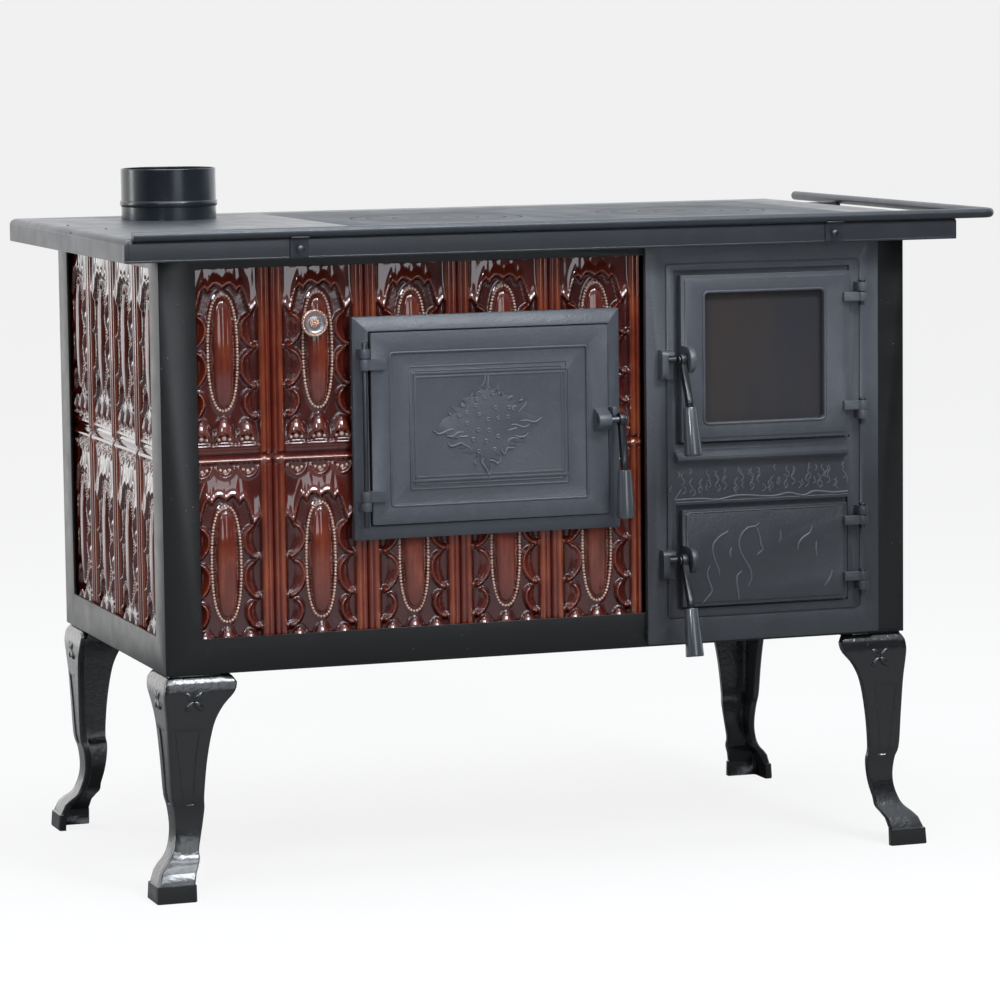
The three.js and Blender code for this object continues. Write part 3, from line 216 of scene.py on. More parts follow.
def box(name, low, high):
    """A block between two corners in millimetres."""
    let_go()
    middle = (Vector(low) + Vector(high)) / 2 * MM
    bpy.ops.mesh.primitive_cube_add(size=1, location=middle, scale=(Vector(high) - Vector(low)) * MM)
    return settle(named(name))


def carve(piece, tool, how="DIFFERENCE"):
    """Cut a tool out of a piece, or join it on, and throw the tool away."""
    apply_modifier(piece, "BOOLEAN", operation=how, object=tool, solver="EXACT")
    bpy.data.objects.remove(tool)
    return piece


def disc(name, centre, radius, low, high, sides=128):
    """An upright cylinder from low to high, in millimetres."""
    let_go()
    bpy.ops.mesh.primitive_cylinder_add(
        vertices=sides, radius=radius * MM, depth=(high - low) * MM,
        location=(centre[0] * MM, centre[1] * MM, (low + high) / 2 * MM),
    )
    return settle(named(name))


def copy_of(piece, name, shift=(0, 0, 0), turn=0.0):
    """A copy with its own mesh, turned about Z and moved, in millimetres."""
    mesh = piece.data.copy()
    mesh.transform(Matrix.Translation(Vector(shift) * MM) @ Matrix.Rotation(turn, 4, "Z"))
    return wrap(name, mesh)


def from_node(node):
    """A merged copy of a CAD piece's mesh, to be refined."""
    piece = wrap(node + "_finished", NODES[node].data.copy())
    piece.data.materials.clear()
    edit(piece)
    bpy.ops.mesh.remove_doubles(threshold=2e-6)
    bpy.ops.mesh.dissolve_limited(angle_limit=math.radians(0.5), use_dissolve_boundaries=False)
    done()
    return piece


def hand_over(piece, finish, node=None, slot=None):
    """Give a finished piece its material and its body, and hide the CAD piece that it stands for."""
    if finish:
        piece.data.materials.clear()
        piece.data.materials.append(FINISHES[finish])
    piece.parent = None
    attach(piece, body_of(node) if node else "stove")
    slot or (slot_of(node) if node else finish)
    if node:
        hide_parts(node)


def body_of(node):
    return NODES[node]["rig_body"]


def turned(name, profile, centre, steps=96):
    """Spin a closed profile of (radius, height) points, in millimetres, about a vertical line."""
    points = [(centre[0] + r, centre[1], centre[2] + z) for r, z in profile]
    piece = mesh_of(name, points, [(k, (k + 1) % len(points)) for k in range(len(points))])
    edit(piece)
    bpy.ops.mesh.spin(
        steps=steps, angle=2 * math.pi, center=Vector(centre) * MM, axis=(0, 0, 1), use_auto_merge=True
    )
    done()
    outward(piece)
    smooth(piece, 32)
    return piece


TO_FRONT = Matrix.Rotation(math.radians(90), 4, "X")


def lean(piece, turn):
    """Put a finished piece through a turn or a shift that is given as a matrix."""
    piece.data.transform(turn)
    piece.data.update()
    return piece


def bar(name, points, radius, sides=12, closed=False):
    """A round bar along points in millimetres."""
    curve = bpy.data.curves.new(name, "CURVE")
    curve.dimensions = "3D"
    curve.bevel_depth = radius * MM
    curve.bevel_resolution = sides // 4
    curve.use_fill_caps = not closed
    line = curve.splines.new("POLY")
    line.use_cyclic_u = closed
    line.points.add(len(points) - 1)
    for dot, place in zip(line.points, points):
        dot.co = (*(Vector(place[:3]) * MM), 1)
        dot.radius = place[3] if len(place) > 3 else 1
    pick(wrap(name, curve))
    bpy.ops.object.convert(target="MESH")
    return named(name)


def flow(points, count=24):
    """A smooth line of count points through a few given ones."""
    points = [Vector(p) for p in points]
    ends = [2 * points[0] - points[1], *points, 2 * points[-1] - points[-2]]
    line = []
    for k in range(count):
        t = k / (count - 1) * (len(points) - 1)
        i = min(int(t), len(points) - 2)
        t -= i
        a, b, c, d = ends[i : i + 4]
        bend = (2 * a - 5 * b + 4 * c - d) * t**2 + (3 * b - a - 3 * c + d) * t**3
        line.append(0.5 * (2 * b + (c - a) * t + bend))
    return line


# ------------------------------------------------------------------ finishes
class Nodes:
    """A node tree in the making, with a few short ways to add to it."""

    def __init__(self, tree):
        self.tree = tree

    def node(self, kind, **values):
        made = self.tree.nodes.new(kind)
        for key, value in values.items():
            if key in made.inputs:
                made.inputs[key].default_value = value
            else:
                setattr(made, key, value)
        return made

    def link(self, a, b):
        self.tree.links.new(a, b)

    def remap(self, value, a, b, c, d):
        made = self.node("ShaderNodeMapRange", clamp=True)
        for socket, number in zip(list(made.inputs)[1:5], (a, b, c, d)):
            socket.default_value = number
        self.link(value, made.inputs["Value"])
        return made.outputs["Result"]

    def maths(self, operation, a, b):
        made = self.node("ShaderNodeMath", operation=operation)
        for socket, value in zip(made.inputs, (a, b)):
            if isinstance(value, (int, float)):
                socket.default_value = value
            else:
                self.link(value, socket)
        return made.outputs[0]

    def split(self, place):
        made = self.node("ShaderNodeSeparateXYZ")
        self.link(place, made.inputs[0])
        return made.outputs

    def choose(self, share, a, b):
        """A shader between two others; share is a number or a socket."""
        made = self.node("ShaderNodeMixShader")
        if isinstance(share, (int, float)):
            made.inputs[0].default_value = share
        else:
            self.link(share, made.inputs[0])
        self.link(a.outputs[0], made.inputs[1])
        self.link(b.outputs[0], made.inputs[2])
        return made

    def show(self, shader):
        """Make a shader the one that is seen."""
        output = next(n for n in self.tree.nodes if n.bl_idname.startswith("ShaderNodeOutput"))
        self.link(shader.outputs[0], output.inputs["Surface"])


class Finish(Nodes):
    """One material in the making."""

    def __init__(self, name):
        self.material = bpy.data.materials.new(name)
        self.material.use_nodes = True
        super().__init__(self.material.node_tree)
        self.shader = self.tree.nodes["Principled BSDF"]
        self.place = self.node("ShaderNodeTexCoord").outputs["Object"]

    def speckle(self, scale, detail=3.0, roughness=0.55, stretch=None):
        place = self.place
        if stretch:
            mapping = self.node("ShaderNodeMapping")
            mapping.inputs["Scale"].default_value = stretch
            self.link(place, mapping.inputs["Vector"])
            place = mapping.outputs["Vector"]
        made = self.node("ShaderNodeTexNoise", Scale=scale, Detail=detail, Roughness=roughness)
        self.link(place, made.inputs["Vector"])
        return made.outputs["Fac"]

    def cells(self, scale, feature="F1"):
        made = self.node("ShaderNodeTexVoronoi", feature=feature, Scale=scale)
        self.link(self.place, made.inputs["Vector"])
        return made.outputs["Distance"]

    def ramp(self, value, *stops):
        made = self.node("ShaderNodeValToRGB")
        points = made.color_ramp.elements
        while len(points) < len(stops):
            points.new(0.5)
        for point, (place, colour) in zip(points, stops):
            point.position = place
            point.color = (*colour, 1)
        self.link(value, made.inputs["Fac"])
        return made.outputs["Color"]

    def mix(self, share, a, b):
        made = self.node("ShaderNodeMix", data_type="RGBA")
        self.link(share, made.inputs[0])
        for socket, colour in ((made.inputs[6], a), (made.inputs[7], b)):
            if isinstance(colour, bpy.types.NodeSocket):
                self.link(colour, socket)
            else:
                socket.default_value = (*colour, 1)
        return made.outputs[2]

    def colour(self, value):
        self.link(value, self.shader.inputs["Base Color"])

    def roughness(self, value):
        self.link(value, self.shader.inputs["Roughness"])

    def bump(self, height, strength, distance, under=None):
        made = self.node("ShaderNodeBump", Strength=strength, Distance=distance)
        self.link(height, made.inputs["Height"])
        if under is not None:
            self.link(under, made.inputs["Normal"])
        self.link(made.outputs["Normal"], self.shader.inputs["Normal"])
        return made.outputs["Normal"]

    def set(self, **values):
        for key, value in values.items():
            self.shader.inputs[key.replace("_", " ")].default_value = value
        return self


def painted(name, colour, rough, grain, grain_depth, patches=0.12, dust=0.0, coat=0.0, worn=0.0, smoked=None,
            sheen=0.5, coarse=0.25):
    """Paint on metal: uneven sheen, a fine grain, faint patches and specks of dust.

    smoked is (low, high, share): painted shade, darker towards the bottom; below low metres the paint is
    darkened to that share, above high not at all.
    """
    paint = Finish(name)
    light = tuple(min(1, c * (1 + patches)) for c in colour)
    dark = tuple(c * (1 - patches) for c in colour)
    patch = paint.speckle(9, 4)
    tone = paint.mix(paint.remap(patch, 0.3, 0.7, 0, 1), dark, light)
    if dust:
        specks = paint.remap(paint.cells(110), 0.05, 0.11, 1, 0)
        sparse = paint.remap(paint.speckle(30, 2), 0.54, 0.62, 0, dust)
        grey = tuple(min(1, c * 3 + 0.14) for c in colour)
        tone = paint.mix(paint.maths("MULTIPLY", specks, sparse), tone, grey)
    if worn:
        rubbed = paint.remap(paint.speckle(60, 6, 0.7), 0.5, 0.8, 0, worn)
        tone = paint.mix(rubbed, tone, tuple(min(1, c * 2.2 + 0.02) for c in colour))
    # the rubbed attribute lightens raised lines: rubbed paint, and partly a painted highlight on them
    raised = paint.node("ShaderNodeAttribute", attribute_name="rubbed").outputs["Fac"]
    tone = paint.mix(raised, tone, tuple(min(1, c * 2.6 + 0.03) for c in colour))
    # painted shade: the paint is darkened towards the bottom
    if smoked:
        low, high, share = smoked
        shade = paint.remap(paint.split(paint.place)["Z"], low, high, share, 1)
        made = paint.node("ShaderNodeVectorMath", operation="MULTIPLY")
        paint.link(tone, made.inputs[0])
        paint.link(shade, made.inputs[1])
        tone = made.outputs[0]
    paint.colour(tone)
    paint.roughness(paint.remap(paint.speckle(30, 5), 0.25, 0.75, rough - 0.06, rough + 0.07))
    fine = paint.bump(paint.speckle(grain, 2), 0.9, grain_depth * MM)
    paint.bump(paint.speckle(22, 2), coarse, coarse * MM, fine)
    paint.set(Coat_Weight=coat, Coat_Roughness=0.2, Specular_IOR_Level=sheen)
    return paint.material


def glaze():
    """Transparent red-brown glaze: dark where it pools in the hollows, orange where it runs off ridges; the
    darkening in the hollows is partly painted shade, and the palest tone on the pearls is a painted highlight.
    """
    coat = Finish("tile_glaze")
    tone = coat.node("ShaderNodeAttribute", attribute_name="ridge").outputs["Fac"]
    streak = coat.remap(coat.speckle(90, 4, 0.6, (1, 1, 0.22)), 0.3, 0.7, -0.06, 0.06)
    blotch = coat.remap(coat.speckle(17, 3), 0.3, 0.7, -0.07, 0.07)
    tone = coat.maths("ADD", tone, coat.maths("ADD", streak, blotch))
    coat.colour(coat.ramp(
        tone, (0.0, (0.014, 0.004, 0.004)), (0.33, (0.07, 0.01, 0.008)),
        (0.6, (0.17, 0.024, 0.012)), (0.82, (0.38, 0.085, 0.03)), (1.0, (0.7, 0.44, 0.34)),
    ))
    coat.roughness(coat.remap(coat.speckle(40, 3), 0.3, 0.7, 0.05, 0.12))
    turned_back = coat.node("ShaderNodeVectorTransform", vector_type="NORMAL")
    turned_back.convert_from, turned_back.convert_to = "OBJECT", "WORLD"
    facing = coat.node("ShaderNodeAttribute", attribute_name="facing").outputs["Vector"]
    coat.link(facing, turned_back.inputs[0])
    length = coat.node("ShaderNodeVectorMath", operation="LENGTH")
    coat.link(turned_back.outputs[0], length.inputs[0])
    choice = coat.node("ShaderNodeMix", data_type="VECTOR")
    coat.link(coat.remap(length.outputs["Value"], 0.4, 0.5, 0, 1), choice.inputs[0])
    coat.link(coat.node("ShaderNodeNewGeometry").outputs["Normal"], choice.inputs[4])
    coat.link(turned_back.outputs[0], choice.inputs[5])
    way = coat.bump(coat.speckle(60, 3), 0.25, 0.35 * MM, choice.outputs[1])
    coat.link(way, coat.shader.inputs["Coat Normal"])
    coat.set(Specular_IOR_Level=0.5, Coat_Weight=1.0, Coat_Roughness=0.07, Coat_IOR=1.5)
    return coat.material


SMOKE_SHARE = 0.78  # how little of what is behind the glass shows through


def glass():
    """Heat-proof glass, with a light film of smoke from the fire."""
    pane = Finish("smoked_glass")
    smoke = pane.remap(pane.speckle(9, 3, 0.5, (1.6, 1, 0.45)), 0.35, 0.7, 0, 1)
    pane.colour(pane.mix(smoke, (0.062, 0.064, 0.074), (0.085, 0.07, 0.066)))
    pane.roughness(pane.remap(pane.speckle(20, 2), 0.3, 0.7, 0.05, 0.09))
    pane.bump(pane.speckle(7, 1), 0.06, 0.5 * MM)
    clear = pane.node("ShaderNodeBsdfTransparent", Color=(0.5, 0.47, 0.45, 1))
    pane.show(pane.choose(SMOKE_SHARE, clear, pane.shader))
    return pane.material


def metal(name, colour, rough, brushed=(1, 1, 1), scale=180):
    """Bare metal with drawn lines and a few darker stains."""
    bare = Finish(name)
    stain = bare.remap(bare.speckle(35, 5), 0.45, 0.75, 0, 0.6)
    bare.colour(bare.mix(stain, colour, tuple(c * 0.45 for c in colour)))
    lines = bare.speckle(scale, 3, 0.5, brushed)
    bare.roughness(bare.remap(lines, 0.3, 0.7, rough - 0.08, rough + 0.1))
    bare.bump(lines, 0.25, 0.05 * MM)
    bare.set(Metallic=1.0)
    return bare.material


def fire_clay():
    """Rough buff brick with coarse grains and soot."""
    clay = Finish("fire_clay")
    grains = clay.remap(clay.speckle(120, 4), 0.3, 0.7, 0, 1)
    tone = clay.mix(grains, (0.2, 0.14, 0.1), (0.27, 0.2, 0.14))
    soot = clay.remap(clay.speckle(9, 3), 0.3, 0.6, 0.55, 1)
    clay.colour(clay.mix(soot, tone, (0.03, 0.025, 0.023)))
    clay.bump(clay.speckle(90, 3), 0.2, 0.4 * MM)
    clay.set(Roughness=0.9)
    return clay.material


FINISHES = {}


def make_finishes(colours):
    """Every finish of the stove, by the name of the record's slot."""
    made = (
        painted("frame_paint", colours.frame, 0.36, 420, 0.12, dust=0.9),
        painted("tray_paint", colours.tray, 0.37, 500, 0.1, dust=0.35, worn=0.08),
        # cast_paint and fire_paint are darkened towards the bottom as painted shade; fire_paint, for the fire
        # front, is darkened more
        painted(
            "cast_paint", colours.castings, 0.42, 300, 0.5, 0.08, worn=0.15, smoked=(0.42, 0.54, 0.75)
        ),
        painted(
            "fire_paint", colours.fire_front, 0.4, 300, 0.5, 0.08, worn=0.12, smoked=(0.46, 0.58, 0.42)
        ),
        painted("hob_iron", colours.hob, 0.55, 260, 0.3, 0.2, worn=0.2, sheen=0.3),
        painted("leg_enamel", colours.legs, 0.22, 150, 0.9, 0.1, coat=0.6, coarse=0.8),
        painted("sheet_steel", (0.05, 0.052, 0.055), 0.45, 300, 0.08, worn=0.3),
        metal("bright_steel", (0.42, 0.42, 0.43), 0.35, (1, 1, 0.15)),
        metal("dark_steel", (0.09, 0.095, 0.105), 0.38, (1, 1, 0.2)),
        painted("grip_steel", (0.062, 0.067, 0.076), 0.16, 200, 0.05, coat=1.0),
        metal("copper", colours.copper, 0.25, (1, 1, 1), 300),
        metal("aged_silver", (0.36, 0.34, 0.36), 0.35, (1, 1, 1), 300),
        painted("flue_paint", (0.016, 0.019, 0.025), 0.22, 500, 0.05, dust=0.2),
        painted("rail_paint", (0.03, 0.034, 0.042), 0.36, 500, 0.08, dust=0.2),
        painted("lever_iron", (0.014, 0.015, 0.018), 0.32, 330, 0.2, 0.08, worn=0.2),
    )
    FINISHES.update((finish.name.split(".")[0], finish) for finish in made)
    FINISHES.update(tile_glaze=glaze(), firebrick=fire_clay(), door_glass=glass())


# ------------------------------------------------------------------ relief tiles
class Relief:
    """Heights over a tile face, in millimetres; u runs across, v upwards."""

    def __init__(self, width, height, step):
        self.width, self.height = width, height
        self.nu, self.nv = round(width / step) + 1, round(height / step) + 1
        self.step_u, self.step_v = width / (self.nu - 1), height / (self.nv - 1)
        self.u, self.v = np.meshgrid(np.linspace(0, width, self.nu), np.linspace(0, height, self.nv))
        self.off = self.u - width / 2
        self.side = np.minimum(self.u, width - self.u)
        self.top = height - self.v
        self.h = np.ones_like(self.u)
        self.beads = []

    def over(self, h):
        """Raise the face to h where h is higher."""
        self.h = np.maximum(self.h, h)

    def bead(self, off, v, radius, rise):
        """Note a pearl, to be laid on the finished face."""
        self.beads.append((self.width / 2 + off, v, radius, rise))

    def cell(self, u, v):
        """The row and the column of the grid point nearest to a place."""
        j, i = round(v / self.step_v), round(u / self.step_u)
        return min(max(j, 0), self.nv - 1), min(max(i, 0), self.nu - 1)


def rounded(x):
    """Half-round profile, 1 at x = 0 and 0 at x = +-1."""
    return np.sqrt(np.clip(1 - x * x, 0, 1))


def ease(x, a, b):
    t = np.clip((x - a) / (b - a), 0, 1)
    return t * t * (3 - 2 * t)


FULL_RELIEF = 7.3  # the highest that the relief stands off the slab
LEAVES = ((41, 75, 13), (77, 122, 16), (124, 165, 16))  # from, to, reach
HEM_OFF = [0, 2.5, 5.5, 8.5, 11.5, 14.5, 17, 19, 22, 24.5, 27, 29.5, 32, 34.5, 37, 43]
HEM_V = [194, 197, 199.5, 200.5, 199.5, 196, 190, 194, 197, 194, 187, 177, 167, 165, 169, 176]
MEDALLION = (18.0, 68.6, 120.5)  # half width, half height, level of its middle
ROUND_OFF = 2.4  # exponent of the medallion's outline: 2 is an ellipse
PEARL_STEP = 3.8
TRIO = (-28, 0, 28)  # the three shells and the three swags stand here


def leaves(face):
    """Hooked leaves along both edges, each with a sharp outer ridge and a hollow behind it."""
    s, v = face.side, face.v
    for low, high, reach in LEAVES:
        along = np.clip((v - low) / (high - low), 0, 1)
        swell = np.power(4 * along * (1 - along), 0.6)
        outer = 18 + 7 * along + reach * swell
        inner = 15 + 6.5 * along + 0.55 * reach * swell
        x = np.clip((s - inner) / np.maximum(outer - inner, 1.5), 0, 1)
        leaf = np.where(s > inner, 1.9 + 3.2 * x**2, 1.1)
        vein = inner + 0.42 * (outer - inner)
        for height, middle, half in ((6.9, outer - 1.8, 1.9), (4.4, vein, 1.5), (3.4, inner, 1.3)):
            leaf = np.maximum(leaf, height * rounded((s - middle) / half))
        leaf = leaf * (1 - ease(s, outer, outer + 1.6))
        face.over(np.where((v >= low) & (v <= high), leaf, 0))
        face.over(7.0 * rounded(np.hypot((s - 20.5) / 4.2, (v - low - 3) / 3.6)))


def curtain(face):
    """One wide curtain across the top, drawn down to three short points and a long one at each side."""
    above = face.v - np.interp(np.abs(face.off), HEM_OFF, HEM_V)
    drop = np.clip(above, 0, None)
    cloth = 2.7 + 3.9 * np.exp(-drop / 11)
    cloth = cloth + 0.45 * np.cos(2 * math.pi * np.abs(face.off) / 16.6) * np.exp(-drop / 28)
    face.over(np.where(face.side > 15.4, cloth * ease(above, -1.0, 1.2), 0))


def medallion(face):
    """A fluted boss in a hollow, with a string of pearls round it."""
    half, tall, level = MEDALLION
    off, lift = np.abs(face.off), np.abs(face.v - level)
    d = np.power(np.power(off / half, ROUND_OFF) + np.power(lift / tall, ROUND_OFF), 1 / ROUND_OFF)
    hollow = 1 - ease(d, 1.03, 1.14)
    face.h = face.h * (1 - hollow) + 0.5 * hollow
    face.over(2.0 * rounded((d - 1.0) / 0.1))
    inner = np.power(off / (half - 3.4), 2.6) + np.power(lift / (tall - 3.6), 2.6)
    flutes = 0.22 * np.cos(face.off * 2 * math.pi / 8)
    boss = 2.6 + 4.4 * np.power(np.clip(1 - inner, 0, 1), 0.5) + flutes
    face.over(np.where(inner < 1, boss, 0))
    around = np.linspace(0, 2 * math.pi, 721)[:-1]
    ring_u = half * np.sign(np.cos(around)) * np.abs(np.cos(around)) ** (2 / ROUND_OFF)
    ring_v = tall * np.sign(np.sin(around)) * np.abs(np.sin(around)) ** (2 / ROUND_OFF)
    run = np.cumsum(np.hypot(np.diff(ring_u, append=ring_u[0]), np.diff(ring_v, append=ring_v[0])))
    count = round(run[-1] / PEARL_STEP)
    for k in range(count):
        i = int(np.searchsorted(run, run[-1] * k / count)) % len(around)
        face.bead(ring_u[i], level + ring_v[i], 1.7, 1.7)


def shells(face):
    """Three hooded shells along the bottom, with pearls under the hoods."""
    for centre in TRIO:
        x = (face.off - centre) / 14.2
        rise = np.clip((face.v - 15.5) / (31.0 if centre == 0 else 28.0), 0, 1)
        shell = FULL_RELIEF * np.power(np.clip(1 - np.abs(x) ** 1.8 - rise**1.7, 0, 1), 0.5)
        shell = np.where((face.v > 13.8) & (rise < 1), shell, 0)
        under = np.hypot(x * 14.2 / 11.2, (face.v - 14.5) / 9.8)
        face.over(np.where(under < 1, 1.8 + 1.6 * under**6, shell))
        face.h = np.where(under < 0.96, np.minimum(face.h, 3.2), face.h)
        for step, v, radius in ((-6.6, 17.9, 2.0), (0, 19.1, 2.8), (6.6, 17.9, 2.0)):
            face.bead(centre + step, v, radius, 2.2)


def swags(face):
    """Three swags with pearls under the top roll."""
    for centre in TRIO:
        dish = np.hypot((face.off - centre) / 11.0, (face.top - 14.5) / 11.5)
        below = face.top > 14.0
        face.over(np.where(below, 5.0 * rounded((dish - 1.0) / 0.2), 0))
        face.h = np.where(below & (dish < 0.86), 2.2, face.h)
        for step, down, radius in ((-5.6, 17.6, 2.0), (0, 19.4, 2.6), (5.6, 17.6, 2.0)):
            face.bead(centre + step, face.height - down, radius, 2.0)


def border(face):
    """A ridge below, a roll above and reeds up both edges."""
    s, v, top = face.side, face.v, face.top
    inside = ease(v, 10.8, 12.6) * ease(top, 12.0, 13.6)
    face.h = face.h * inside + (1 - inside) * 2.6
    face.over(6.0 * rounded((v - 10.2) / 1.3))
    face.over(6.4 * rounded((top - 6.6) / 4.4))
    reeds = 2.9 + 1.7 * rounded((s - 2.2) / 2.3)
    reeds = np.maximum(reeds, 2.4 + 3.2 * rounded((s - 10.2) / 4.7))
    reeds = reeds - 1.0 * rounded((s - 5.1) / 0.9)
    face.h = np.where(s < 15.2, np.maximum(reeds, np.where(top < 11, face.h, 0)), face.h)
    edge = np.minimum(s, np.minimum(v, top))
    face.h = face.h * (0.45 + 0.55 * ease(edge, 0, 1.6))


def tile_face(width, height, step):
    """The relief of one tile."""
    face = Relief(width, height, step)
    for layer in (leaves, curtain, medallion, shells, swags, border):
        layer(face)
    face.h = np.clip(soft_blur(face.h, 1), 0, FULL_RELIEF)
    return face


def soft_blur(h, passes):
    """Average each height with its neighbours, as thick glaze does."""
    for _ in range(passes):
        wide = np.pad(h, 1, mode="edge")
        h = (
            4 * h + 2 * (wide[1:-1, :-2] + wide[1:-1, 2:] + wide[:-2, 1:-1] + wide[2:, 1:-1])
            + wide[:-2, :-2] + wide[:-2, 2:] + wide[2:, :-2] + wide[2:, 2:]
        ) / 16
    return h


def bead_dome():
    """One low pearl of unit radius, open at the back, facing -Y."""
    let_go()
    bpy.ops.mesh.primitive_uv_sphere_add(segments=8, ring_count=6, radius=1)
    bead = named("pearl")
    edit(bead)
    bpy.ops.mesh.bisect(plane_co=(0, 0, -0.2), plane_no=(0, 0, 1), clear_inner=True)
    bpy.ops.mesh.select_all(action="SELECT")
    bpy.ops.transform.rotate(value=math.radians(-90), orient_axis="X", center_override=(0, 0, 0))
    done()
    return bead


DEEPER = 2.2  # the glaze is shaded as if the relief were this much deeper than the slab has room for


def set_facing(mesh, vectors):
    """Store the way each corner of the glaze faces."""
    vectors = vectors / np.linalg.norm(vectors, axis=-1, keepdims=True)
    facing = mesh.attributes.new("facing", "FLOAT_VECTOR", "POINT")
    facing.data.foreach_set("vector", vectors.reshape(-1).astype(np.float32))


def turn_facing(mesh, turn):
    """Turn what set_facing stored about Z."""
    facing = mesh.attributes["facing"]
    flat = np.zeros(len(mesh.vertices) * 3, np.float32)
    facing.data.foreach_get("vector", flat)
    spun = flat.reshape(-1, 3) @ np.array(Matrix.Rotation(turn, 3, "Z")).T
    facing.data.foreach_set("vector", spun.reshape(-1).astype(np.float32))


def make_tile(name, width, height, step, slab):
    """One glazed tile at the origin, its lower left corner in front, its back on y = 0."""
    face = tile_face(width, height, step)
    let_go()
    bpy.ops.mesh.primitive_grid_add(x_subdivisions=face.nu - 1, y_subdivisions=face.nv - 1, size=1)
    tile = named(name)
    mesh = tile.data
    flat = np.zeros(len(mesh.vertices) * 3)
    mesh.vertices.foreach_get("co", flat)
    flat = flat.reshape(-1, 3)
    i = np.rint((flat[:, 0] + 0.5) * (face.nu - 1)).astype(int)
    j = np.rint((flat[:, 1] + 0.5) * (face.nv - 1)).astype(int)
    placed = np.stack([face.u[j, i], -slab - face.h[j, i], face.v[j, i]], 1) * MM
    mesh.vertices.foreach_set("co", placed.reshape(-1))
    # lighter on the ridges, darker in the hollows: glaze pooling, and partly painted shade in the hollows
    near = soft_blur(face.h, 2)
    far = soft_blur(face.h, round(26 / step**2))
    ridge = 0.44 + 0.085 * (near - far) + 0.045 * (near - 3.2)
    reeds = 0.1 + 0.2 * rounded((face.side - 14.2) / 1.1) + 0.16 * rounded((face.side - 4.4) / 0.9)
    ridge = np.clip(ridge + (face.side < 15) * reeds, 0, 0.97)
    store(mesh, "ridge", ridge[j, i])
    rise_v, rise_u = np.gradient(face.h, face.step_v, face.step_u)
    facing = np.stack([-DEEPER * rise_u, -np.ones_like(rise_u), -DEEPER * rise_v], -1)
    set_facing(mesh, facing[j, i])
    mesh.update()

    edit(tile)
    bpy.ops.mesh.normals_make_consistent(inside=False)
    select_edges(tile, lambda edge: edge.is_boundary)
    extrude(0, slab, 0)
    bpy.ops.transform.resize(value=(1, 0, 1), center_override=(0, 0, 0))
    bpy.ops.mesh.edge_face_add()
    bpy.ops.mesh.select_all(action="SELECT")
    bpy.ops.mesh.normals_make_consistent(inside=False)
    done()
    bpy.ops.object.shade_smooth()
    smooth(tile, 70)
    return tile, face


def add_pearls(tile, face, slab, shift=(0, 0, 0), keep=lambda u, v: True):
    """Lay the pearls on a tile moved by shift; keep(u, v) says where the tile still is."""
    dome = bead_dome()
    base = np.array([v.co for v in dome.data.vertices])
    faces = [list(p.vertices) for p in dome.data.polygons]
    bpy.data.objects.remove(dome)
    points, loops = [], []
    for u, v, radius, rise in face.beads:
        if not keep(u, v):
            continue
        ground = min(face.h[face.cell(u, v)], FULL_RELIEF - rise - 0.1)
        place = base * (radius, rise, radius) + (u, -slab - ground + 0.15, v) + np.array(shift)
        loops += [[n + len(points) * len(base) for n in loop] for loop in faces]
        points.append(place)
    if not points:
        return tile
    pearls = mesh_of("pearls", np.concatenate(points), faces=loops)
    # the pearls take the palest glaze tone, a painted highlight on them
    store(pearls.data, "ridge", np.ones(len(pearls.data.vertices)))
    set_facing(pearls.data, np.tile(base + (0, -0.15, 0), (len(points), 1)))
    pick(pearls)
    bpy.ops.object.shade_smooth()
    return joined([tile, pearls], tile.name)


# ------------------------------------------------------------------ sizes and colours
def length(name, description, value):
    return bpy.props.FloatProperty(
        name=name, description=description, default=value * MM, min=0, subtype="DISTANCE", unit="LENGTH"
    )


def tint(name, description, value):
    return bpy.props.FloatVectorProperty(
        name=name, description=description, default=value, size=3, min=0, max=1, subtype="COLOR"
    )


def power(name, description, value):
    return bpy.props.FloatProperty(
        name=name, description=description, default=value, min=0, subtype="POWER", unit="POWER"
    )


class CookstoveTiles(bpy.types.PropertyGroup):
    width: length("Tile width", "Width of one front tile without its joint", 115.7)
    side_width: length("Side tile width", "Width of one side tile without its joint", 117.0)
    height: length("Tile height", "Height of one tile without its joint", 249.5)
    joint: length("Joint", "Gap between two tiles", 0.5)
    slab: length("Slab", "Thickness of the clay behind the relief", 10.0)
    front_step: length("Front detail", "Grid step of the front tiles' relief", 1.5)
    side_step: length("Side detail", "Grid step of the side tiles' relief", 2.0)


class CookstoveColours(bpy.types.PropertyGroup):
    frame: tint("Frame", "Paint of the angle-iron frame", (0.006, 0.006, 0.0065))
    tray: tint("Top tray", "Paint of the top tray", (0.034, 0.038, 0.045))
    castings: tint("Oven front", "Paint of the oven door and its frame", (0.092, 0.1, 0.119))
    fire_front: tint("Fire front", "Paint of the fire and ash front", (0.098, 0.103, 0.119))
    hob: tint("Hob plates", "Bare hob iron", (0.042, 0.046, 0.052))
    legs: tint("Legs", "Enamel of the cast legs", (0.009, 0.009, 0.01))
    copper: tint("Copper", "Damper knob", (0.78, 0.54, 0.43))


class CookstoveStudio(bpy.types.PropertyGroup):
    floor: tint("Floor", "Colour of the studio floor", (0.86, 0.86, 0.86))
    key: power("Key light", "Power of the key light", 75)
    side: power("Side light", "Power of the strip on the left", 27)
    shine: power("Shine", "Power of the panel seen in the glaze", 52)
    spark: power("Spark light", "Power of the small light in front on the left", 26)
    front: power("Front screen", "Power of the screen in front", 16)
    top: power("Top light", "Power of the light overhead", 98)


